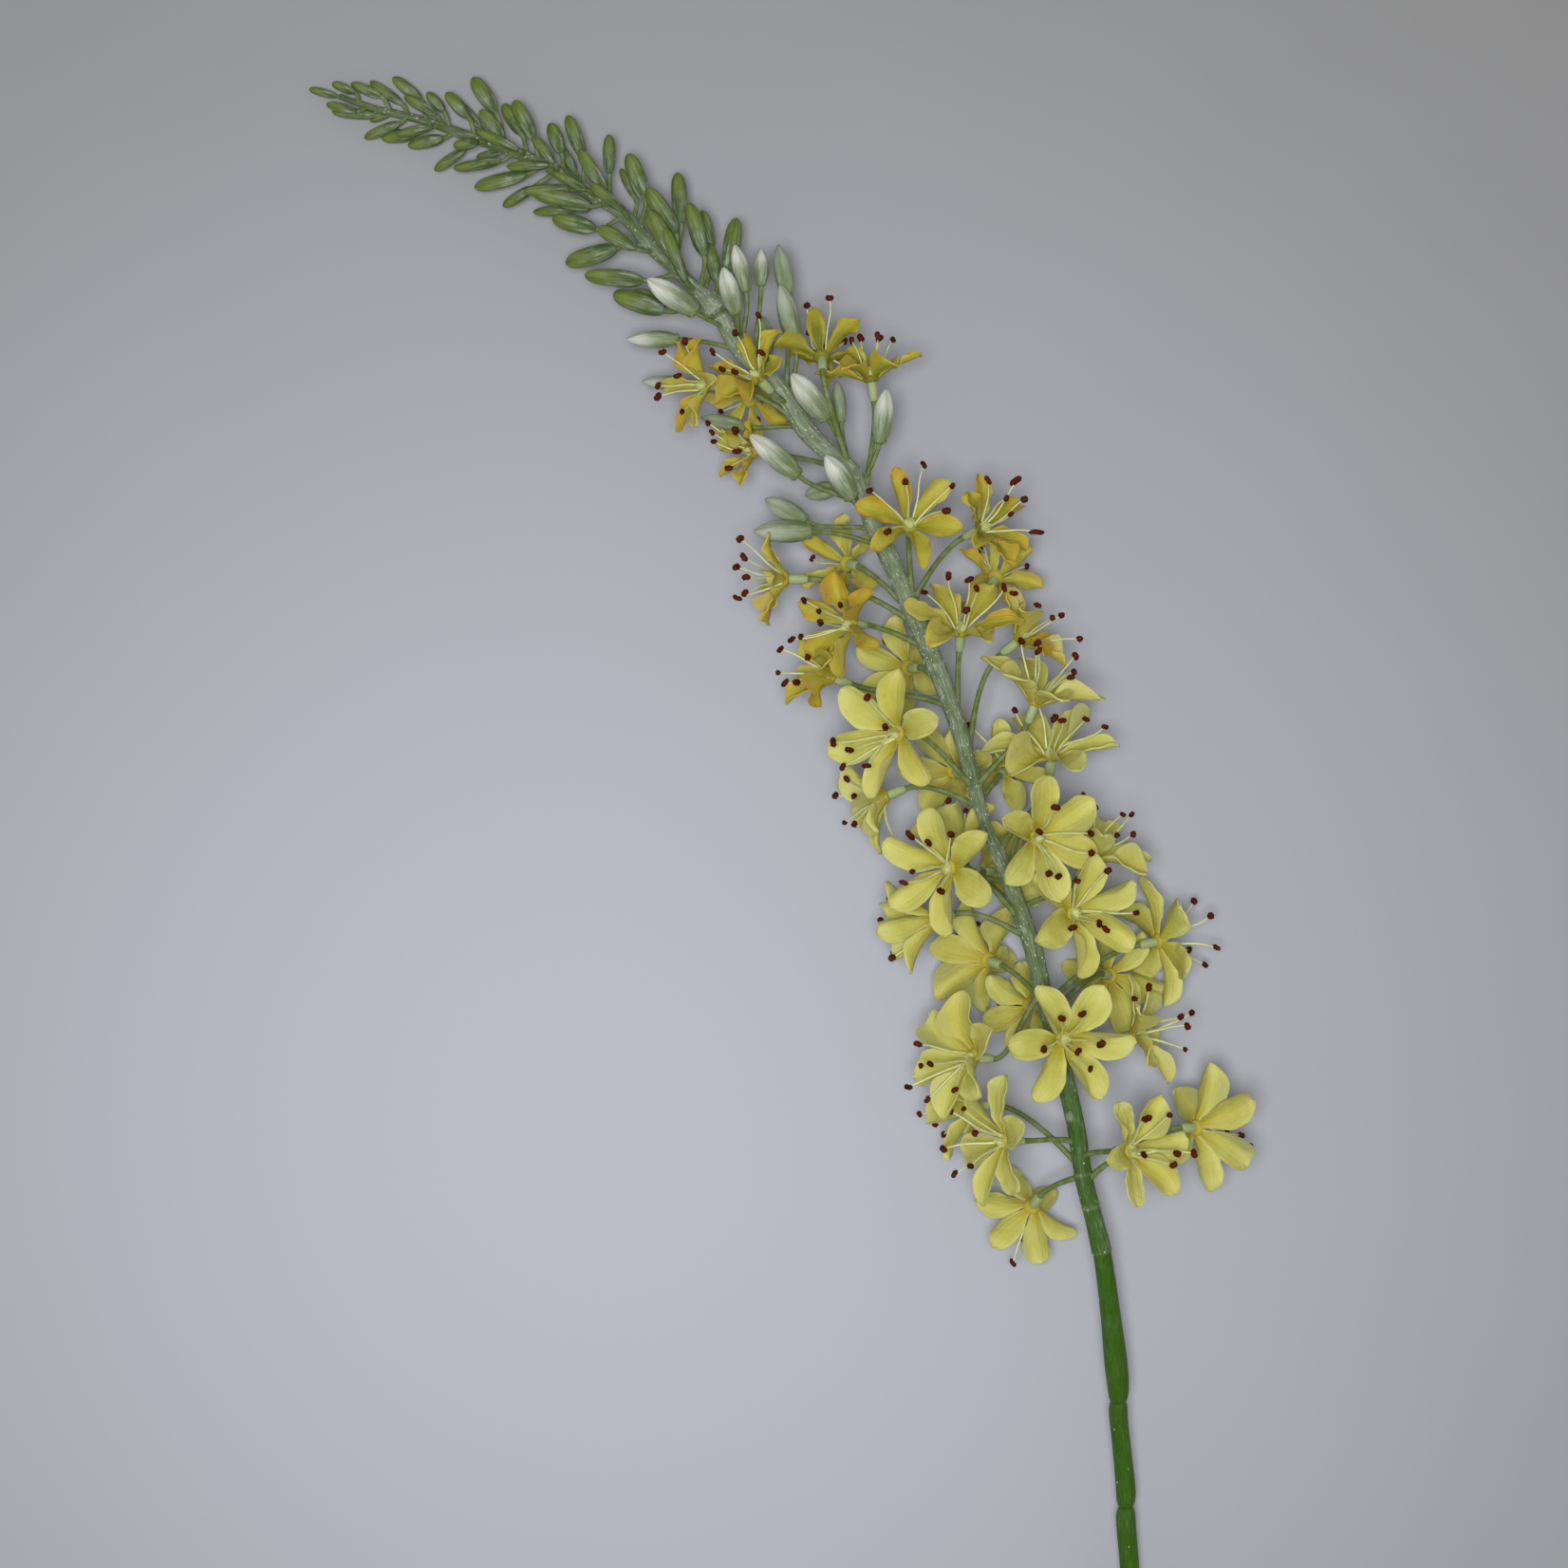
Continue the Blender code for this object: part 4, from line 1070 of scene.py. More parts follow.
def random_between(tree, low, high, seed):
    """Output of a node that draws a vector for each point."""
    random = add_node(tree, "FunctionNodeRandomValue", {"Seed": seed}, data_type="FLOAT_VECTOR")
    random.inputs["Min"].default_value = low
    random.inputs["Max"].default_value = high
    return random.outputs["Value"]


def scaled(tree, vector, scale):
    """Output of a node that multiplies a vector by a number."""
    return add_node(tree, "ShaderNodeVectorMath", {0: vector, "Scale": scale}, operation="SCALE").outputs["Vector"]


def along_way(tree):
    """Output of a node that turns z to the way that is kept at a point."""
    inputs = {"Vector": named(tree, WAY, "FLOAT_VECTOR")}
    return add_node(tree, "FunctionNodeAlignRotationToVector", inputs, axis="Z").outputs["Rotation"]


def turned_by(tree, rotation, own_turn):
    """Output of a node that adds a turn about a rotation's own axes."""
    inputs = {"Rotation": rotation, "Rotate By": own_turn}
    return add_node(tree, "FunctionNodeRotateRotation", inputs, rotation_space="LOCAL").outputs["Rotation"]


def placed_shapes(tree, shape, material, inputs):
    """Adds the nodes that put a shape on points, make it real there and give it its material."""
    info = add_node(tree, "GeometryNodeObjectInfo", {"Object": shape})
    placed = add_node(tree, "GeometryNodeInstanceOnPoints", {"Instance": info.outputs["Geometry"], **inputs})
    real = add_node(tree, "GeometryNodeRealizeInstances", {"Geometry": placed.outputs["Instances"]})
    return set_material(tree, real.outputs["Geometry"], material)


def stamens_tree():
    """Tree that turns guide lines into filaments and puts an anther on each tip."""
    tree, given, result = new_tree(
        "GeometryNodeTree",
        "Stamens",
        (
            ("Guides", "NodeSocketGeometry"),
            ("Filament Radius", "NodeSocketFloat", MM),
            ("Anther", "NodeSocketObject"),
            ("Anther Radius", "NodeSocketFloat", MM),
            ("Anther Length", "NodeSocketFloat", MM),
            ("Seed", "NodeSocketInt", 1),
            ("Filament Material", "NodeSocketMaterial"),
            ("Anther Material", "NodeSocketMaterial"),
        ),
        ("Stamens", "NodeSocketGeometry"),
    )
    lines, skin = round_skin(tree, given["Guides"], FILAMENT_SIDES, given["Filament Radius"])
    tumble = random_between(tree, [-part for part in ANTHER_TUMBLE], ANTHER_TUMBLE, given["Seed"])
    size = add_node(
        tree,
        "ShaderNodeCombineXYZ",
        {"X": given["Anther Radius"], "Y": given["Anther Radius"], "Z": given["Anther Length"]},
    )
    own_size = named(tree, SIZE, "FLOAT_VECTOR")
    varied = add_node(tree, "ShaderNodeVectorMath", {0: size.outputs["Vector"], 1: own_size}, operation="MULTIPLY")
    inputs = {
        "Points": lines,
        "Selection": named(tree, TIP, "FLOAT"),
        "Rotation": turned_by(tree, along_way(tree), tumble),
        "Scale": varied.outputs["Vector"],
    }
    joined = add_node(tree, "GeometryNodeJoinGeometry")
    anthers = placed_shapes(tree, given["Anther"], given["Anther Material"], inputs)
    for part in (anthers, set_material(tree, skin, given["Filament Material"])):
        tree.links.new(part, joined.inputs["Geometry"])
    tree.links.new(joined.outputs["Geometry"], result)
    return tree


def shapes_tree():
    """Tree that puts a shape on every point, turned and sized by what is kept there."""
    tree, given, result = new_tree(
        "GeometryNodeTree",
        "Buds",
        (
            ("Points", "NodeSocketGeometry"),
            ("Shape", "NodeSocketObject"),
            ("Scale", "NodeSocketFloat", MM),
            ("Material", "NodeSocketMaterial"),
        ),
        ("Buds", "NodeSocketGeometry"),
    )
    roll = add_node(tree, "FunctionNodeAxisAngleToRotation", {"Axis": (0, 0, 1), "Angle": named(tree, ROLL, "FLOAT")})
    inputs = {
        "Points": add_node(tree, "GeometryNodeMeshToPoints", {"Mesh": given["Points"]}).outputs["Points"],
        "Rotation": turned_by(tree, along_way(tree), roll.outputs["Rotation"]),
        "Scale": scaled(tree, named(tree, SIZE, "FLOAT_VECTOR"), given["Scale"]),
    }
    tree.links.new(placed_shapes(tree, given["Shape"], given["Material"], inputs), result)
    return tree


def flecks_tree():
    """Tree that strews small flakes lengthwise over a stem, most where its powder is thickest."""
    tree, given, result = new_tree(
        "GeometryNodeTree",
        "Powder flecks",
        (
            ("Stem", "NodeSocketGeometry"),
            ("Fleck", "NodeSocketObject"),
            ("Fleck Length", "NodeSocketFloat", MM),
            ("Density", "NodeSocketFloat", FLECK_DENSITY),
            ("Seed", "NodeSocketInt", 1),
            ("Material", "NodeSocketMaterial"),
        ),
        ("Flecks", "NodeSocketGeometry"),
    )
    cover = named(tree, COVER, "FLOAT")
    dense = add_node(tree, "ShaderNodeMath", {0: cover, 1: given["Density"]}, operation="MULTIPLY")
    strewn = add_node(
        tree,
        "GeometryNodeDistributePointsOnFaces",
        {"Mesh": given["Stem"], "Density": dense.outputs["Value"], "Seed": given["Seed"]},
    )
    flat = add_node(tree, "FunctionNodeAlignRotationToVector", {"Vector": strewn.outputs["Normal"]}, axis="Z")
    lengthwise = add_node(
        tree,
        "FunctionNodeAlignRotationToVector",
        {"Rotation": flat.outputs["Rotation"], "Vector": named(tree, WAY, "FLOAT_VECTOR")},
        axis="X",
        pivot_axis="Z",
    )
    wander = random_between(tree, (0, 0, -FLECK_WANDER), (0, 0, FLECK_WANDER), given["Seed"])
    inputs = {
        "Points": strewn.outputs["Points"],
        "Rotation": turned_by(tree, lengthwise.outputs["Rotation"], wander),
        "Scale": scaled(tree, random_between(tree, *FLECK_SIZES, given["Seed"]), given["Fleck Length"]),
    }
    tree.links.new(placed_shapes(tree, given["Fleck"], given["Material"], inputs), result)
    return tree


def object_place(tree):
    """Output of a node that gives the place on a piece, in its own coordinates."""
    return add_node(tree, "ShaderNodeTexCoord").outputs["Object"]


def distance_from(tree, point):
    """Output of a node that measures the distance of a place on a piece from a point."""
    inputs = {0: object_place(tree), 1: point}
    return add_node(tree, "ShaderNodeVectorMath", inputs, operation="DISTANCE").outputs["Value"]


def shader_group(name, inputs, output, fill):
    """Shader group of numbers with one output, made once and then shared."""
    if name not in bpy.data.node_groups:
        sockets = [(label, "NodeSocketFloat", default) for label, default in inputs]
        tree, given, result = new_tree("ShaderNodeTree", name, sockets, (output, "NodeSocketFloat"))
        tree.links.new(fill(tree, given), result)
    return bpy.data.node_groups[name]


def spread_out(tree, noise, given):
    """Output of a node that spreads noise between the low and high inputs of a group."""
    inputs = {"Value": noise.outputs["Fac"], "From Min": given["Low"], "From Max": given["High"]}
    return add_node(tree, "ShaderNodeMapRange", inputs).outputs["Result"]


def fill_streaks(tree, given):
    """Fills the group of streaks: noise drawn out along a piece."""
    fine = scaled(tree, kept(tree, ROUND, "Vector"), given["Fineness"])
    split = add_node(tree, "ShaderNodeSeparateXYZ", {"Vector": fine}).outputs
    inputs = {0: kept(tree, ALONG), 1: given["Stretch"], 2: split["Z"]}
    long = add_node(tree, "ShaderNodeMath", inputs, operation="MULTIPLY_ADD")
    drawn = add_node(tree, "ShaderNodeCombineXYZ", {"X": split["X"], "Y": split["Y"], "Z": long.outputs["Value"]})
    inputs = {"Vector": drawn.outputs["Vector"], "Scale": 1, "Detail": 3, "Roughness": 0.6}
    return spread_out(tree, add_node(tree, "ShaderNodeTexNoise", inputs), given)


def fill_mottle(tree, given):
    """Fills the group of blotches: noise that is the same in every direction."""
    inputs = {"Vector": object_place(tree), "Scale": given["Scale"], "Detail": given["Detail"]}
    return spread_out(tree, add_node(tree, "ShaderNodeTexNoise", inputs), given)


def fill_grain(tree, given):
    """Fills the group of grain: small soft cells."""
    inputs = {"Vector": object_place(tree), "Scale": given["Scale"]}
    return add_node(tree, "ShaderNodeTexVoronoi", inputs, feature="SMOOTH_F1").outputs["Distance"]


def streaks_group():
    """Shader group that draws fine streaks along a stalk, a bud or a petal."""
    inputs = (("Fineness", 4.0), ("Stretch", 60.0), ("Low", 0.35), ("High", 0.65))
    return shader_group("Lengthwise streaks", inputs, "Streaks", fill_streaks)


def mottle_group():
    """Shader group that draws soft blotches over a piece."""
    inputs = (("Scale", 300.0), ("Detail", 3.0), ("Low", 0.3), ("High", 0.7))
    return shader_group("Soft mottle", inputs, "Mottle", fill_mottle)


def grain_group():
    """Shader group that draws the fine grain of moulded plastic and pressed cloth."""
    return shader_group("Fine grain", (("Scale", 3000.0),), "Grain", fill_grain)


def new_material(name, roughness, **constants):
    """Makes a Principled material with constants on its own sockets, and returns it with its tree and shader."""
    material = bpy.data.materials.new(name)
    material.use_nodes = True
    tree = material.node_tree
    shader = tree.nodes["Principled BSDF"]
    shader.inputs["Roughness"].default_value = roughness
    for key, value in constants.items():
        shader.inputs[key.replace("_", " ")].default_value = value
    return material, tree, shader


def grouped(tree, group, **values):
    """Output of a shader group placed with its own values."""
    placed = add_node(tree, "ShaderNodeGroup", node_tree=group)
    for key, value in values.items():
        placed.inputs[key].default_value = value
    return placed.outputs[0]


def mixed(tree, share, first, second):
    """Output of a node that mixes two colours, each a colour or a socket."""
    first, second = (value if isinstance(value, bpy.types.NodeSocket) else (*value, 1) for value in (first, second))
    return add_node(tree, "ShaderNodeMix", {0: share, 6: first, 7: second}, data_type="RGBA").outputs[2]


def worked(tree, operation, first, second=0.0, third=0.0):
    """Output of a node that calculates with numbers, kept from 0 to 1."""
    made = add_node(tree, "ShaderNodeMath", {0: first, 1: second, 2: third}, operation=operation, use_clamp=True)
    return made.outputs["Value"]


def product_of(tree, first, second):
    """Output of a node that multiplies two numbers."""
    return worked(tree, "MULTIPLY", first, second)


def ramped(tree, value, low, high, out_low=0.0, out_high=1.0):
    """Output of a node that rises smoothly while a value goes from low to high."""
    inputs = {"Value": value, "From Min": low, "From Max": high, "To Min": out_low, "To Max": out_high}
    return add_node(tree, "ShaderNodeMapRange", inputs, interpolation_type="SMOOTHSTEP").outputs["Result"]


def kept(tree, name, output="Fac"):
    """Output of a node that reads what a piece keeps at its points."""
    return add_node(tree, "ShaderNodeAttribute", attribute_name=name).outputs[output]


def bumped(tree, shader, height, distance):
    """Feeds the shader's normal from a height."""
    bump = add_node(tree, "ShaderNodeBump", {"Height": height, "Distance": distance * MM})
    tree.links.new(bump.outputs["Normal"], shader.inputs["Normal"])


def petal_material(settings):
    """Pressed petal cloth: golden foot, lemon blade with pale edges, and amber or olive on the upper blooms."""
    material, tree, shader = new_material(
        "petal_cloth",
        0.6,
        Subsurface_Weight=0.2,
        Subsurface_Radius=(1.0, 0.85, 0.35),
        Subsurface_Scale=1.5 * MM,
        Specular_IOR_Level=0.3,
    )
    along = kept(tree, ALONG)
    across = add_node(tree, "ShaderNodeSeparateXYZ", {"Vector": kept(tree, ROUND, "Vector")}).outputs["X"]
    edge = ramped(tree, worked(tree, "ABSOLUTE", across), 0.5, 1.0)
    tint = add_node(tree, "ShaderNodeSeparateXYZ", {"Vector": kept(tree, TINT, "Vector")}).outputs
    mottle = grouped(tree, mottle_group(), Scale=170.0, Detail=3.0, Low=0.3, High=0.7)
    streaks = grouped(tree, streaks_group(), Fineness=5.0, Stretch=1.2, Low=0.3, High=0.7)
    base = mixed(tree, ramped(tree, along, 0.02, 0.42), settings.golden, settings.lemon)
    light = product_of(tree, worked(tree, "MAXIMUM", edge, ramped(tree, along, 0.6, 1.0)), 0.7)
    lemon = mixed(tree, light, base, settings.pale)
    warm = product_of(tree, worked(tree, "MAXIMUM", tint["X"], tint["Y"]), 1.6)
    mustard = mixed(tree, warm, lemon, settings.mustard)
    margin = ramped(tree, worked(tree, "ABSOLUTE", across), 0.2, 1.0)
    inner = product_of(tree, ramped(tree, along, 0.1, 1.0, 1.0, 0.3), ramped(tree, margin, 0.0, 1.0, 1.0, 0.4))
    olive = mixed(tree, product_of(tree, inner, tint["Y"]), mustard, settings.olive)
    reach = worked(tree, "MULTIPLY_ADD", along, 0.55, product_of(tree, margin, 0.5))
    blotched = worked(tree, "MULTIPLY_ADD", mottle, 0.5, reach)
    amber_share = product_of(tree, ramped(tree, blotched, 0.6, 1.15), tint["X"])
    amber = mixed(tree, amber_share, olive, settings.amber)
    deeper = mixed(tree, product_of(tree, tint["Z"], 0.3), amber, settings.golden)
    veined = mixed(tree, product_of(tree, streaks, 0.26), deeper, settings.golden)
    tree.links.new(veined, shader.inputs["Base Color"])
    grain = grouped(tree, grain_group(), Scale=2600.0)
    creases = grouped(tree, mottle_group(), Scale=420.0, Detail=2.0, Low=0.25, High=0.75)
    height = worked(tree, "MULTIPLY_ADD", grain, 0.15, product_of(tree, streaks, 0.45))
    bumped(tree, shader, worked(tree, "MULTIPLY_ADD", creases, 0.5, height), 0.3)
    return material


def plain_material(name, colour, darker, roughness, grain_scale, **constants):
    """Moulded plastic in one colour with a soft darker mottle and fine grain."""
    material, tree, shader = new_material(name, roughness, **constants)
    mottle = grouped(tree, mottle_group(), Scale=450.0, Detail=2.0, Low=0.35, High=0.7)
    tree.links.new(mixed(tree, mottle, colour, darker), shader.inputs["Base Color"])
    bumped(tree, shader, grouped(tree, grain_group(), Scale=grain_scale), 0.08)
    return material


def darkened(colour, share):
    """Colour at a share of its lightness."""
    return tuple(part * share for part in colour)


def stem_material(settings):
    """Moulded stem: fresh green below, and grey green with streaks of pale powder and scars above."""
    material, tree, shader = new_material(
        "stem_plastic", 0.5, Subsurface_Weight=0.05, Subsurface_Scale=MM, Specular_IOR_Level=0.2
    )
    cover = kept(tree, COVER)
    streaks = grouped(tree, streaks_group(), Fineness=2.2, Stretch=55.0, Low=0.4, High=0.62)
    fine = grouped(tree, streaks_group(), Fineness=6.0, Stretch=260.0, Low=0.45, High=0.6)
    mottle = grouped(tree, mottle_group(), Scale=260.0, Detail=5.0, Low=0.35, High=0.68)
    # Where the cover is thinned just below a lip, these mixes paint a darker line of shade.
    green = mixed(tree, ramped(tree, cover, 0.02, 0.5), settings.fresh, settings.greyed)
    hazy = mixed(tree, ramped(tree, cover, 0.6, 1.26, 0.0, 0.62), green, settings.powder)
    shaded = mixed(tree, product_of(tree, streaks, 0.5), hazy, darkened(settings.fresh, 0.7))
    dust = product_of(tree, product_of(tree, fine, mottle), worked(tree, "POWER", cover, 0.6))
    coloured = mixed(tree, dust, shaded, settings.powder)
    for x, y, radius, plainness in SCARS:
        axis, _ = stalk_at_level(y)
        apart = distance_from(tree, laid(x, y, axis.z + radius) * MM)
        scarred = ramped(tree, apart, 0.3 * radius * MM, radius * MM, plainness, 0.0)
        coloured = mixed(tree, scarred, coloured, settings.powder)
    tree.links.new(coloured, shader.inputs["Base Color"])
    tree.links.new(ramped(tree, dust, 0.0, 1.0, 0.42, 0.85), shader.inputs["Roughness"])
    height = worked(tree, "MULTIPLY_ADD", fine, 0.5, product_of(tree, streaks, 0.4))
    bumped(tree, shader, height, 0.25)
    return material


def side_stalk_material(settings):
    """Moulded side stalks: green, with a pale receptacle and a trace of powder."""
    material, tree, shader = new_material(
        "side_stalk_plastic", 0.5, Subsurface_Weight=0.05, Subsurface_Scale=MM, Specular_IOR_Level=0.3
    )
    pale = kept(tree, COVER)
    streaks = grouped(tree, streaks_group(), Fineness=2.0, Stretch=90.0, Low=0.35, High=0.65)
    mottle = grouped(tree, mottle_group(), Scale=420.0, Detail=4.0, Low=0.4, High=0.7)
    green = mixed(tree, product_of(tree, streaks, 0.6), settings.side, darkened(settings.side, 0.6))
    swollen = mixed(tree, ramped(tree, pale, 0.3, 0.8), green, settings.receptacle)
    dusted = mixed(tree, product_of(tree, mottle, 0.3), swollen, settings.powder)
    tree.links.new(dusted, shader.inputs["Base Color"])
    bumped(tree, shader, worked(tree, "MULTIPLY_ADD", streaks, 0.5, product_of(tree, mottle, 0.3)), 0.2)
    return material


def bud_material(name, foot, middle, tip, powder, dust):
    """Closed bud: three colours from foot to tip, darker seams, fine streaks, and pale marks in its lower half that
    are powder and, on the green buds, also a painted glossy sheen.
    """
    material, tree, shader = new_material(
        name, 0.5, Subsurface_Weight=0.1, Subsurface_Scale=1.2 * MM, Specular_IOR_Level=0.3
    )
    along = kept(tree, ALONG)
    seam = kept(tree, SEAM)
    streaks = grouped(tree, streaks_group(), Fineness=4.0, Stretch=2.5, Low=0.35, High=0.65)
    mottle = grouped(tree, mottle_group(), Scale=330.0, Detail=3.0, Low=0.3, High=0.62)
    reach = worked(tree, "MULTIPLY_ADD", streaks, 0.22, along)
    lower = mixed(tree, ramped(tree, reach, 0.1, 0.45), foot, middle)
    turned = product_of(tree, ramped(tree, reach, 0.42, 0.88), kept(tree, TINT))
    upper = mixed(tree, turned, lower, tip)
    fine = grouped(tree, streaks_group(), Fineness=4.5, Stretch=2.0, Low=0.42, High=0.6)
    # Partly painted highlight: the pale marks are powder and also stand for the glossy sheen of the green buds.
    dust_and_sheen_patches = product_of(tree, product_of(tree, mottle, fine), dust)
    clean = product_of(tree, ramped(tree, along, 0.2, 0.9, 1.0, 0.1), ramped(tree, seam, 0.1, 0.6, 1.0, 0.0))
    dusted = mixed(tree, product_of(tree, dust_and_sheen_patches, clean), upper, powder)
    veined = mixed(tree, product_of(tree, streaks, 0.2), dusted, darkened(foot, 0.6))
    seamed = mixed(tree, product_of(tree, seam, 0.6), veined, darkened(foot, 0.6))
    tree.links.new(seamed, shader.inputs["Base Color"])
    bumped(tree, shader, worked(tree, "MULTIPLY_ADD", streaks, 0.5, product_of(tree, mottle, 0.2)), 0.2)
    return material


def blade(shape, t):
    """Half width of a petal at a place along it, as a share of its widest."""
    if t < shape.peak:
        return PETAL_CLAW + (1 - PETAL_CLAW) * math.sin(math.pi / 2 * t / shape.peak) ** CLAW_CURVE
    past = min((t - shape.peak) / (PETAL_END - shape.peak), 1)
    return max(1 - past**shape.squareness, 0) ** shape.roundness


def drawn_petal(bloom, share, settings, chance, warmth):
    """What sets one petal apart from the others, drawn by chance."""
    upper = bloom.y > UPPER_BLOOMS_ABOVE
    return PetalShape(
        peak=chance.uniform(*PETAL_PEAK),
        squareness=chance.uniform(*TIP_SQUARENESS),
        roundness=chance.uniform(*TIP_ROUNDNESS),
        widest=settings.widest * petal_width(bloom, share) * chance.uniform(*WIDTH_SHARE),
        cupping=settings.cupping * chance.uniform(*CUPPING_SHARE),
        ripple=settings.ripple / MM * chance.uniform(*RIPPLE_SHARE) * (UPPER_RIPPLE if upper else 1),
        phases=(chance.uniform(0, 2 * math.pi), chance.uniform(0, 2 * math.pi)),
        twist=math.radians(chance.uniform(*PETAL_TWIST)),
        bow=chance.uniform(*PETAL_BOW),
        curl=chance.uniform(*TIP_CURL),
        roll=max(chance.uniform(*EDGE_ROLL), 0),
        roll_side=chance.choice((-1, 1)),
        amber=warmth[0] * (chance.choice(AMBER_SHARES) * chance.uniform(*AMBER_VARIATION)),
        olive=warmth[1] * chance.uniform(*OLIVE_VARIATION),
        deepness=chance.random(),
        seed=chance.uniform(0, STREAK_SHIFT),
    )


def petal_row(shape, line, t):
    """Middle of a petal at a place along it, and the directions across and through it there."""
    centre, across, through = (on_curve(PETAL_KNOTS, values, t) for values in line)
    across, through = across.normalized(), through.normalized()
    turn = shape.twist * t
    across, through = (
        math.cos(turn) * across + math.sin(turn) * through,
        math.cos(turn) * through - math.sin(turn) * across,
    )
    return centre + shape.bow * math.sin(math.pi * min(t, 1)) * across, across, through


def petal_lift(shape, half, t, v):
    """How far a petal stands up at a place along and across it, and how much of that is its rolled edge."""
    swing = shape.phases[v > 0] + 2 * math.pi * t
    waves = math.sin(BROAD_WAVES * swing) + FINE_WAVE_SHARE * math.sin(FINE_WAVES * swing)
    ripple = waves * shape.ripple * v * v * min(2 * t, 1)
    groove = MIDRIB_DEPTH * math.exp(-((v / MIDRIB_WIDTH) ** 2)) * max(1 - t, 0) ** 0.5
    outer = max(v * shape.roll_side - ROLL_FROM, 0) / (1 - ROLL_FROM)
    roll = shape.roll * half * outer**2 * math.sin(math.pi * min(t, 1) ** 1.5)
    curl = shape.curl * max((t - TIP_CURL_FROM) / (PETAL_END - TIP_CURL_FROM), 0) ** 2
    cup = shape.cupping * half * (v * v - CUPPING_DATUM)
    return cup + ripple - groove + roll + curl * (1 - 0.5 * v * v), roll


def add_petal(draft, line, shape, thickness):
    """Adds one petal: a thin cupped sheet along the solid petal's line."""
    rings, rounds, alongs = [], [], []
    for row in range(PETAL_ROWS):
        t = PETAL_END * (1 - (1 - row / (PETAL_ROWS - 1)) ** ROW_CROWDING)
        centre, across, through = petal_row(shape, line, t)
        half = max(blade(shape, t), LEAST_HALF_WIDTH) * shape.widest
        top, under = [], []
        for column in range(PETAL_COLUMNS):
            v = 1 - 2 * column / (PETAL_COLUMNS - 1)
            lift, roll = petal_lift(shape, half, t, v)
            spot = centre + (v * half - shape.roll_side * ROLL_INWARD * roll) * across + lift * through
            top.append(spot + thickness / 2 * through)
            under.append(spot - thickness / 2 * through)
            rounds.append((v, shape.seed, 0))
        rings.append(top + under[::-1])
        rounds += rounds[-1 : -1 - PETAL_COLUMNS : -1]
        alongs += [t] * (2 * PETAL_COLUMNS)
    tint = (shape.amber, shape.olive, shape.deepness)
    draft.add_skin(rings, 0, **{ROUND: rounds, ALONG: alongs, TINT: [tint] * len(alongs)})


def add_turned(draft, bloom, profile, kind, lobes, depth, warmth):
    """Adds a turned form on the bloom's axis through a profile of heights and radii."""
    own = bloom_frame(bloom)
    rings = []
    for height, radius in profile:
        ring = []
        for side in range(LATHE_SIDES):
            angle = side * 360 / LATHE_SIDES
            reach = radius * (1 + depth * math.cos(math.radians(lobes * angle)))
            ring.append(own.hub + height * own.facing + reach * outward(own, own.first + angle))
        rings.append(ring)
    count = len(profile) * LATHE_SIDES
    tint = (CORE_AMBER * warmth[0], warmth[1], CORE_DEEPNESS)
    draft.add_skin(rings, kind, **{ROUND: [(0, 0, 0)] * count, ALONG: [CORE_ALONG] * count, TINT: [tint] * count})


def make_petals(settings):
    """Makes the petals, hub and boss of every bloom as one piece each."""
    cloth = petal_material(settings)
    boss = plain_material("boss_plastic", settings.boss, darkened(settings.boss, 0.75), 0.5, 2500.0)
    for index, bloom in enumerate(BLOOMS):
        name = node_name(index)
        corners = node_corners(name)
        chance = Random(index)
        warmth = WARM_BLOOMS.get(index + 1, LEMON)
        draft = Draft()
        for number in range(PETALS):
            poses = product(PETAL_SHARES, PETAL_SWINGS, PETAL_BENDS)
            pose = solid_pose(bloom, number, corners, poses, petal_end_corners)
            if pose:
                line = list(zip(*petal_line(bloom, number, *pose)))
                shape = drawn_petal(bloom, pose[0], settings, chance, warmth)
                add_petal(draft, line, shape, settings.thickness / MM)
        add_turned(draft, bloom, HUB_PROFILE, 0, PETALS, 0, warmth)
        add_turned(draft, bloom, BOSS_PROFILE, 1, BOSS_LOBES, BOSS_LOBE_DEPTH, warmth)
        hand_over(new_piece(f"{name}_petals", draft.mesh(name, (cloth, boss))), name)


def spot_ahead(foot, facing, length, x, y):
    """Point over a layout position at a length from a foot, on the side that a bloom faces."""
    found = []
    for side in (1, -1):
        point = laid(x, y, foot.z)
        for _ in range(SPOT_ROUNDS):
            level = math.hypot(point.x - foot.x, point.y - foot.y)
            rise = math.sqrt(max(length**2 - level**2, (LEAST_SPOT_RISE * length) ** 2))
            point = laid(x, y, max(foot.z + side * rise, LEAST_SPOT_HEIGHT))
        found.append(((point - foot).dot(facing), side, point))
    return max(found)[2]


def bloom_stamens(index):
    """Foot and tip of every stamen of a bloom, and the share that its anther is long."""
    bloom = BLOOMS[index]
    facing = bloom_frame(bloom).facing
    corners = node_corners(node_name(index))
    stamens = {}
    for number in range(PETALS):
        poses = product(STAMEN_SHARES, STAMEN_TURNS, STAMEN_LEANS)
        pose = solid_pose(bloom, number, corners, poses, stamen_end)
        if pose is None and bloom.rise < FACE_DOWN_RISE:
            pose = UNSEEN_POSE
        if pose:
            foot, way, length = stamen_line(bloom, number, *pose)
            stamens[number] = (foot, foot + ANTHER_MIDDLE * length * way, 1)
    free = set(stamens)
    for x, y, *long in ANTHER_SPOTS.get(index + 1, ()):
        if not free:
            break
        spot = laid(x, y, bloom.height + bloom.petal / 2)
        number = min(free, key=lambda each: (stamens[each][1].xy - spot.xy).length)
        free.discard(number)
        foot, _, _ = stamens[number]
        stamens[number] = (foot, spot_ahead(foot, facing, bloom.petal, x, y), *(long or [1]))
    return list(stamens.values())


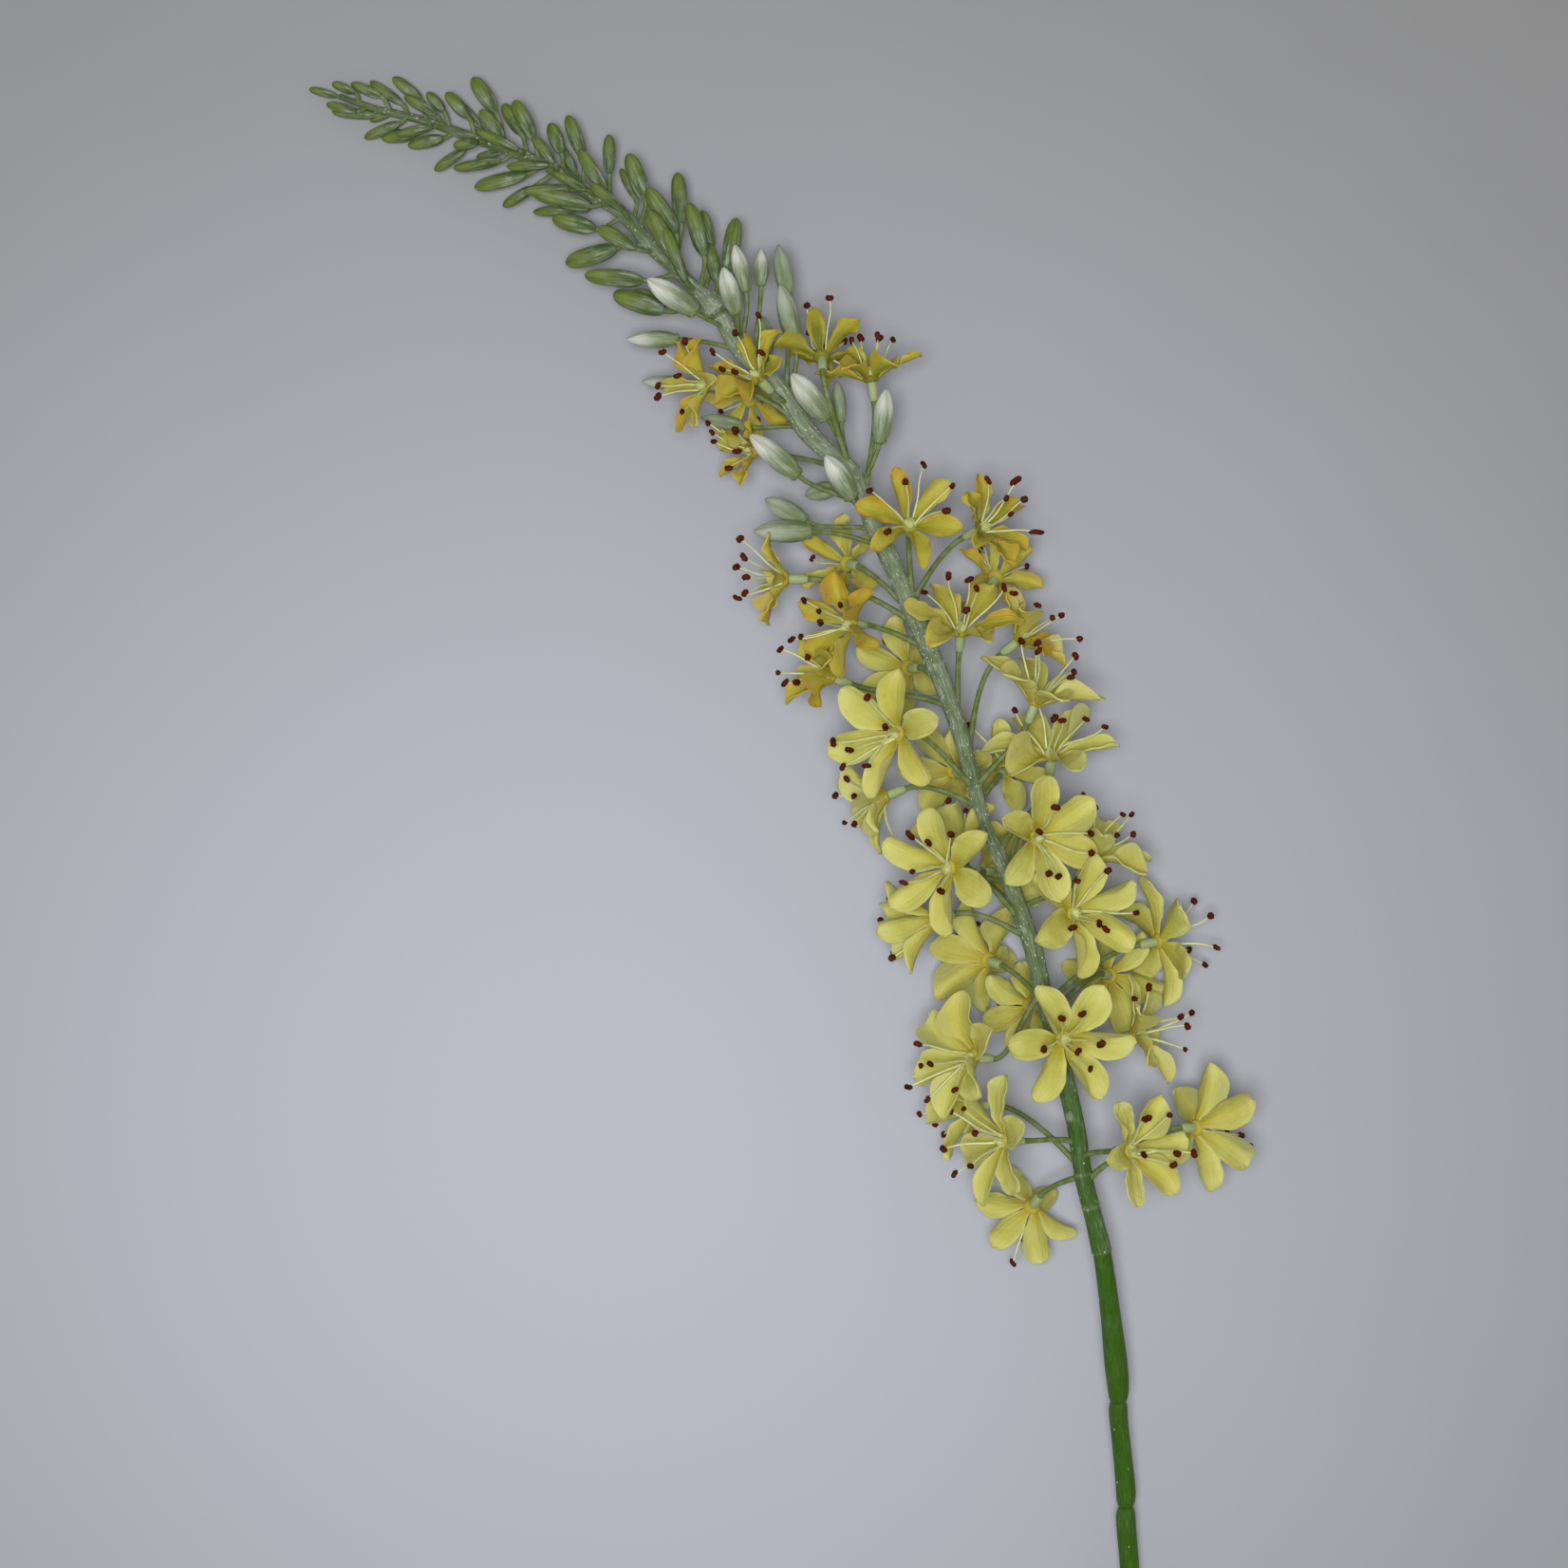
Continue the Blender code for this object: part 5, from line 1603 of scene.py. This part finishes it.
def anther_shape():
    """Unit anther along z: an irregular bean, bowed to one side and dented there."""
    rings = []
    for height, radius in ANTHER_PROFILE:
        bow = ANTHER_BOW * (1 - 4 * height**2)
        ring = []
        for turn in turns(ANTHER_SIDES):
            uneven = ANTHER_UNEVENNESS * math.sin(3 * turn + ANTHER_WARP * height)
            reach = radius * (1 - ANTHER_DENT * max(math.cos(turn), 0) ** 2 + uneven)
            ring.append(unit_point(turn, reach, height, bow))
        rings.append(ring)
    draft = Draft()
    draft.add_skin(rings)
    return shape_object(draft.mesh("anther"))


def add_stamen(guides, facing, stamen, slimness, chance):
    """Adds the guide line of a bowed, waving filament, with the size and way of its anther."""
    foot, end, long = stamen
    way = (end - foot).normalized()
    start_way = facing.lerp(way, 1 - FILAMENT_BOW).normalized()
    lean = Vector([chance.uniform(-ANTHER_LEAN, ANTHER_LEAN) for _ in range(3)])
    points = smooth_path(foot - FILAMENT_SINK * facing, start_way, end, (way + lean).normalized(), FILAMENT_STEPS)
    shares = [step / FILAMENT_STEPS for step in range(FILAMENT_STEPS + 1)]
    sway = chance.uniform(*FILAMENT_WAVE) * way.cross(Vector((0, 0, 1))).normalized()
    phase = chance.uniform(0, 2 * math.pi)
    for step, share in enumerate(shares):
        wave = math.sin(phase + 2 * math.pi * FILAMENT_WAVES * share) * math.sin(math.pi * share)
        points[step] = points[step] + wave * sway
    wide = chance.uniform(*ANTHER_WIDTHS)
    size = (wide, wide * chance.uniform(*ANTHER_FLATNESS), long * chance.uniform(*ANTHER_LENGTHS))
    marks = {
        GIRTH: [slimness * between(FILAMENT_GIRTHS, share) for share in shares],
        ALONG: shares,
        WAY: [way + lean] * len(points),
        SIZE: [size] * len(points),
        TIP: [float(share == 1) for share in shares],
    }
    guides.add_line(points, **marks)


def make_stamens(settings):
    """Makes the stamens of every bloom as one piece each."""
    filament_colours = (settings.filament_colour, darkened(settings.filament_colour, 0.8))
    filament = plain_material("filament_plastic", *filament_colours, 0.45, 2500.0)
    anther_colours = (settings.anther_colour, darkened(settings.anther_colour, 0.4))
    anther = plain_material("anther_plastic", *anther_colours, 0.55, 1300.0, Specular_IOR_Level=0.12)
    values = {
        "Filament Radius": settings.filament,
        "Anther": anther_shape(),
        "Anther Radius": settings.anther_radius,
        "Anther Length": settings.anther_length,
        "Filament Material": filament,
        "Anther Material": anther,
    }
    tree = stamens_tree()
    for index, bloom in enumerate(BLOOMS):
        chance = Random(STAMEN_SEED + index)
        slimness = UPPER_FILAMENT if bloom.y > UPPER_BLOOMS_ABOVE else 1
        guides = Draft()
        for stamen in bloom_stamens(index):
            add_stamen(guides, bloom_frame(bloom).facing, stamen, slimness, chance)
        name = node_name(index)
        made = run_tree(tree, guides.mesh(name), {"Seed": index, **values})
        hand_over(new_piece(f"{name}_stamens", made), name)


def stem_radius(y, levels, radii):
    """Radius of the stem at a level, with its joints' rounded shoulders, faint ring lines and sleeve lips."""
    radius = on_curve(levels, radii, y)
    for level, neck, below, above in JOINTS:
        away = y - level
        reach = above if away > 0 else below
        if abs(away) < reach:
            share = 1 - abs(away) / reach
            radius = neck + (radius - neck) * math.sqrt(1 - share**2)
    for level, height in RING_LINES:
        radius += height * math.exp(-(((y - level) / RING_REACH) ** 2))
    for level, height, taper in LIPS:
        if level <= y < level + taper:
            radius += height * (1 - (y - level) / taper)
    return radius


def powder_at(y):
    """How thickly powder covers the stem: a pale rim on each ring line and lip, and powder thinned just below a lip
    to paint a dark line of shade under it.
    """
    levels = [level for level, *_ in RING_LINES + LIPS]
    rim = max(math.exp(-(((y - level) / RING_REACH) ** 2)) for level in levels)
    # Painted shade: below each lip the powder is thinned, so the stem shows a darker line there, as if in the lip's
    # shadow.
    lip_painted_shade = max(math.exp(-(((y - level) / LIP_SHADE_PAINT_REACH + 1) ** 2)) for level, *_ in LIPS)
    return (between(POWDER, y) + RIM_POWDER * rim) * (1 - LIP_SHADE_PAINT_DEPTH * lip_painted_shade)


def make_stem(settings):
    """Makes the stem with its sleeve joints, swept along its own line."""
    levels = [row[1] for row in STALK]
    spots = [Vector(row[:3]) for row in STALK]
    sound = [row for row in STALK if not any(-below < row[1] - level < above for level, _, below, above in JOINTS)]
    sound_levels, sound_radii = [row[1] for row in sound], [row[3] for row in sound]
    places = [levels[0], levels[0] + CUT_BEVEL]
    while places[-1] < levels[-1]:
        near = any(abs(places[-1] - level) < NEAR_JOINT for level, *_ in JOINTS)
        near = near or any(abs(places[-1] - level) < NEAR_RING for level, *_ in RING_LINES + LIPS)
        places.append(min(places[-1] + (FINE_STEP if near else PLAIN_STEP), levels[-1]))
    points = [laid(*on_curve(levels, spots, place)) for place in places]
    girths = [stem_radius(place, sound_levels, sound_radii) for place in places]
    girths[0] -= CUT_BEVEL
    ways = [(high - low).normalized() for low, high in zip(points, points[1:])]
    marks = {
        GIRTH: girths,
        ALONG: lengths_along(points),
        COVER: [powder_at(place) for place in places],
        WAY: ways + ways[-1:],
    }
    guides = Draft()
    guides.add_line(points, **marks)
    values = {"Sides": settings.stem_sides, "Thickness": MM, "Material": stem_material(settings)}
    hand_over(new_piece("stem", run_tree(stalks_tree(), guides.mesh("stem"), values)), STALK_NODE)


def fleck_shape():
    """Unit fleck of powder: a low uneven crumb."""
    rings = []
    for height, radius in FLECK_PROFILE:
        ring = []
        for turn in turns(FLECK_SIDES):
            uneven = 1 + FLECK_UNEVENNESS * math.sin(3 * turn + 1)
            ring.append(unit_point(turn, radius * uneven, height))
        rings.append(ring)
    draft = Draft()
    draft.add_skin(rings)
    return shape_object(draft.mesh("fleck"))


def make_flecks(settings):
    """Strews flecks of powder over the stem."""
    values = {
        "Fleck": fleck_shape(),
        "Fleck Length": settings.fleck,
        "Density": FLECK_DENSITY,
        "Seed": FLECK_SEED,
        "Material": plain_material("powder", settings.fleck_colour, settings.powder, 0.9, 2000.0),
    }
    stem = bpy.data.objects["stem"].data.copy()
    hand_over(new_piece("powder_flecks", run_tree(flecks_tree(), stem, values)), STALK_NODE)


def leaving_way(root, stalk_way, target, upturn):
    """Direction in which a pedicel leaves the stalk: towards its target, turned up along the stalk."""
    return ((target - root).normalized() + upturn * stalk_way).normalized()


def bud_line(bud, root_level):
    """Root and direction in which a bud's pedicel leaves the stalk, and the bud's foot and tip."""
    root, stalk_way = stalk_at_level(root_level)
    foot = laid(bud.foot_x, bud.foot_y, max(root.z + BUD_FOOT_LIFT * bud.lift, bud.radius))
    tip = laid(bud.tip_x, bud.tip_y, max(root.z + BUD_TIP_LIFT * bud.lift, bud.radius))
    return root, leaving_way(root, stalk_way, foot, BUD_UPTURN), foot, tip


def green_bud_root(bud):
    """Level where a green bud's short pedicel leaves the stalk, a little below its foot."""
    away, level = nearest_level(bud.foot_x, bud.foot_y)
    _, way = stalk_at_level(level)
    return level - BUD_ROOT_LAG * math.hypot(away, bud.lift) * way.y


def rooted_green_buds():
    """The green buds, each with the level of its root."""
    return [(bud, green_bud_root(bud)) for bud in GREEN_BUDS]


def rooted_white_buds():
    """The white buds, each with the level of its root."""
    return [(bud, bud.root) for bud in WHITE_BUDS]


def add_guide(draft, points, girths, covers):
    """Adds a guide line for a side stalk with its length kept along it."""
    draft.add_line(points, **{GIRTH: girths, ALONG: lengths_along(points), COVER: covers})


def make_side_stalks(settings):
    """Makes the pedicels of all blooms with their receptacles, and those of all buds."""
    guides = Draft()
    for bloom in BLOOMS:
        own = bloom_frame(bloom)
        root, stalk_way = stalk_at_level(bloom.root)
        seat = own.hub - SEAT_GAP * own.facing
        neck = seat - RECEPTACLE_LENGTH * own.facing
        leaving = leaving_way(root, stalk_way, neck, BLOOM_UPTURN)
        points = smooth_path(root, leaving, neck, own.facing, PEDICEL_STEPS)
        girths = girths_along(PEDICEL_GIRTHS, PEDICEL_STEPS)
        covers = [0.0] * len(points)
        for share, radius in RECEPTACLE_GIRTHS:
            points.append(neck + share * RECEPTACLE_LENGTH * own.facing)
            girths.append(radius)
            covers.append(1.0)
        add_guide(guides, points, girths, covers)
    for bud, root_level in rooted_green_buds() + rooted_white_buds():
        root, leaving, foot, tip = bud_line(bud, root_level)
        points = smooth_path(root, leaving, foot, (tip - foot).normalized(), BUD_PEDICEL_STEPS)
        girths = girths_along(BUD_PEDICEL_GIRTHS, BUD_PEDICEL_STEPS)
        add_guide(guides, points, girths, [BUD_PEDICEL_COVER] * len(points))
    values = {"Sides": SIDE_STALK_SIDES, "Thickness": MM, "Material": side_stalk_material(settings)}
    mesh = run_tree(stalks_tree(), guides.mesh("side_stalks"), values)
    hand_over(new_piece("side_stalks", mesh), STALK_NODE)


def bud_shape(name, profile, sides, seam_depth, rim):
    """Unit bud along z: closed petals with seams between them, and a ragged rim at its foot if wanted."""
    draft = Draft()
    rings, rounds, alongs, seams = [], [], [], []
    for height, radius in profile:
        ring = []
        for turn in turns(sides):
            near = abs(math.sin(BUD_SEAMS * (turn + BUD_SWIRL * height) / 2))
            groove = math.exp(-((near / SEAM_WIDTH) ** 2)) * min(SEAM_RISE * height, 1)
            ring.append(unit_point(turn, radius * (1 - seam_depth * groove), height))
            rounds.append((math.cos(turn), math.sin(turn), 0))
            seams.append(groove)
            alongs.append(height)
        rings.append(ring)
    draft.add_skin(rings, 0, **{ROUND: rounds, ALONG: alongs, SEAM: seams})
    if rim:
        teeth = [1 + RIM_TOOTH * math.cos(RIM_TEETH * turn) for turn in turns(sides)]
        rings = [
            [unit_point(turn, radius, height * tooth) for turn, tooth in zip(turns(sides), teeth)]
            for height, radius in RIM_PROFILE
        ]
        count = len(rings) * sides
        draft.add_skin(rings, 0, **{ROUND: rounds[:count], ALONG: [0.0] * count, SEAM: [RIM_SEAM] * count})
    return shape_object(draft.mesh(name))


def make_buds(name, rooted, whites, shape, material, flatness):
    """Makes buds of one kind as one piece."""
    chance = Random(len(rooted))
    points, ways, sizes, rolls = [], [], [], []
    for bud, root_level in rooted:
        _, _, foot, tip = bud_line(bud, root_level)
        points.append(foot)
        ways.append((tip - foot).normalized())
        sizes.append((bud.radius, bud.radius * chance.uniform(flatness, 1), (tip - foot).length))
        rolls.append(chance.uniform(0, 2 * math.pi))
    draft = Draft()
    draft.add_points(points, {WAY: ways, SIZE: sizes, ROLL: rolls, TINT: whites})
    values = {"Shape": shape, "Scale": MM, "Material": material}
    hand_over(new_piece(name, run_tree(shapes_tree(), draft.mesh(name), values)), STALK_NODE)


def floor_material(settings):
    """Plain paper with a painted pool of light: its colour darkens away from a bright spot, as if a lamp lit that
    spot.
    """
    material, tree, shader = new_material("floor_paper", 0.9, Specular_IOR_Level=0.2)
    apart = distance_from(tree, laid(*FLOOR_PAINTED_LIGHT_SPOT, 0) * MM)
    # Painted light: the colour fades from the bright spot to the painted shade.
    shade = mixed(tree, ramped(tree, apart, 0.0, FLOOR_PAINTED_LIGHT_FADE * MM), settings.floor, settings.floor_painted_shade)
    mottle = grouped(tree, mottle_group(), Scale=25.0, Detail=2.0, Low=0.2, High=0.8)
    uneven = mixed(tree, product_of(tree, mottle, 0.05), shade, settings.floor)
    tree.links.new(uneven, shader.inputs["Base Color"])
    return material


def make_stage(settings):
    """Adds the floor, the light and the camera."""
    half = settings.floor_size / 2
    centre = Vector((SHIFT_X, SHIFT_Y, 0)) * MM
    mesh = bpy.data.meshes.new("floor")
    corners = [centre + Vector((a * half, b * half, 0)) for a, b in ((-1, -1), (1, -1), (1, 1), (-1, 1))]
    mesh.from_pydata(corners, [], [(0, 1, 2, 3)])
    mesh.materials.append(floor_material(settings))
    floor = linked("floor", mesh)
    lamp = bpy.data.lights.new("key_light", "AREA")
    lamp.shape = "DISK"
    lamp.size = settings.key_size
    lamp.energy = settings.key_power
    light = linked("key_light", lamp)
    light.location = centre + Vector(KEY_PLACE) * MM
    light.rotation_euler = (centre - light.location).to_track_quat("-Z", "Y").to_euler()
    world = bpy.data.worlds.new("sky")
    world.use_nodes = True
    background = world.node_tree.nodes["Background"].inputs
    background["Color"].default_value = (*paint(*SKY_COLOUR), 1)
    background["Strength"].default_value = settings.sky_strength
    camera = bpy.data.cameras.new("camera")
    camera.lens = settings.lens
    camera.clip_end = CAMERA_REACH
    eye = linked("camera", camera)
    eye.location = centre + Vector((0, 0, settings.eye_height))
    scene = bpy.context.scene
    scene.world = world
    scene.view_settings.view_transform = "Standard"
    scene.camera = eye


class LILY_OT_petals(bpy.types.Operator):
    """Makes the petals, hub and boss of every bloom"""

    bl_idname = "lily.petals"
    bl_label = "Petals"

    def execute(self, context):
        make_petals(context.scene.lily_petals)
        return {"FINISHED"}


class LILY_OT_stamens(bpy.types.Operator):
    """Makes the stamens of every bloom"""

    bl_idname = "lily.stamens"
    bl_label = "Stamens"

    def execute(self, context):
        make_stamens(context.scene.lily_stamens)
        return {"FINISHED"}


class LILY_OT_stem(bpy.types.Operator):
    """Makes the stem with its sleeve joints"""

    bl_idname = "lily.stem"
    bl_label = "Stem"

    def execute(self, context):
        make_stem(context.scene.lily_stalks)
        return {"FINISHED"}


class LILY_OT_flecks(bpy.types.Operator):
    """Strews flecks of powder over the stem"""

    bl_idname = "lily.flecks"
    bl_label = "Powder flecks"

    def execute(self, context):
        make_flecks(context.scene.lily_stalks)
        return {"FINISHED"}


class LILY_OT_side_stalks(bpy.types.Operator):
    """Makes the side stalks that carry the blooms and the buds"""

    bl_idname = "lily.side_stalks"
    bl_label = "Side stalks"

    def execute(self, context):
        make_side_stalks(context.scene.lily_stalks)
        return {"FINISHED"}


class LILY_OT_green_buds(bpy.types.Operator):
    """Makes the green buds of the tip"""

    bl_idname = "lily.green_buds"
    bl_label = "Green buds"

    def execute(self, context):
        buds = context.scene.lily_buds
        powder = context.scene.lily_stalks.powder
        rooted = rooted_green_buds()
        colours = (buds.green_foot, buds.green, buds.green_tip, powder)
        material = bud_material("green_bud_plastic", *colours, GREEN_BUD_DUST_AND_SHEEN)
        shape = bud_shape("green_bud", GREEN_BUD_PROFILE, GREEN_BUD_SIDES, buds.seam_depth, False)
        make_buds("green_buds", rooted, [1.0] * len(rooted), shape, material, GREEN_BUD_FLATNESS)
        return {"FINISHED"}


class LILY_OT_white_buds(bpy.types.Operator):
    """Makes the white buds below the green tip"""

    bl_idname = "lily.white_buds"
    bl_label = "White buds"

    def execute(self, context):
        buds = context.scene.lily_buds
        powder = context.scene.lily_stalks.powder
        whites = [bud.white for bud in WHITE_BUDS]
        colours = (buds.white_foot, buds.bloomy, buds.white, powder)
        material = bud_material("white_bud_plastic", *colours, WHITE_BUD_DUST)
        shape = bud_shape("white_bud", WHITE_BUD_PROFILE, WHITE_BUD_SIDES, buds.seam_depth, True)
        make_buds("white_buds", rooted_white_buds(), whites, shape, material, WHITE_BUD_FLATNESS)
        return {"FINISHED"}


class LILY_OT_stage(bpy.types.Operator):
    """Adds the floor, the light and the camera"""

    bl_idname = "lily.stage"
    bl_label = "Stage"

    def execute(self, context):
        make_stage(context.scene.lily_stage)
        return {"FINISHED"}


class LILY_PT_spike(bpy.types.Panel):
    """Buttons that make the spike's pieces, with their settings"""

    bl_idname = "LILY_PT_spike"
    bl_label = "Foxtail Lily"
    bl_space_type = "VIEW_3D"
    bl_region_type = "UI"
    bl_category = "Foxtail Lily"

    def draw(self, context):
        for operator in OPERATORS:
            self.layout.operator(operator.bl_idname)
        for name, settings in SETTINGS.items():
            box = self.layout.box()
            for key in settings.__annotations__:
                box.prop(getattr(context.scene, name), key)


OPERATORS = (
    LILY_OT_stage,
    LILY_OT_petals,
    LILY_OT_stamens,
    LILY_OT_stem,
    LILY_OT_flecks,
    LILY_OT_side_stalks,
    LILY_OT_green_buds,
    LILY_OT_white_buds,
)
SETTINGS = {
    "lily_petals": PetalSettings,
    "lily_stamens": StamenSettings,
    "lily_stalks": StalkSettings,
    "lily_buds": BudSettings,
    "lily_stage": StageSettings,
}


def register():
    """Registers the settings, operators and panel."""
    for name, settings in SETTINGS.items():
        bpy.utils.register_class(settings)
        setattr(bpy.types.Scene, name, bpy.props.PointerProperty(type=settings))
    for each in (*OPERATORS, LILY_PT_spike):
        bpy.utils.register_class(each)


def unregister():
    """Removes the settings, operators and panel again."""
    for each in (LILY_PT_spike, *reversed(OPERATORS)):
        bpy.utils.unregister_class(each)
    for name, settings in SETTINGS.items():
        delattr(bpy.types.Scene, name)
        bpy.utils.unregister_class(settings)


def main():
    """Makes all pieces."""
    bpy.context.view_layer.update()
    register()
    bpy.ops.lily.stage()
    bpy.ops.lily.petals()
    bpy.ops.lily.stamens()
    bpy.ops.lily.stem()
    bpy.ops.lily.flecks()
    bpy.ops.lily.side_stalks()
    bpy.ops.lily.green_buds()
    bpy.ops.lily.white_buds()


if __name__ == "__main__":
    main()
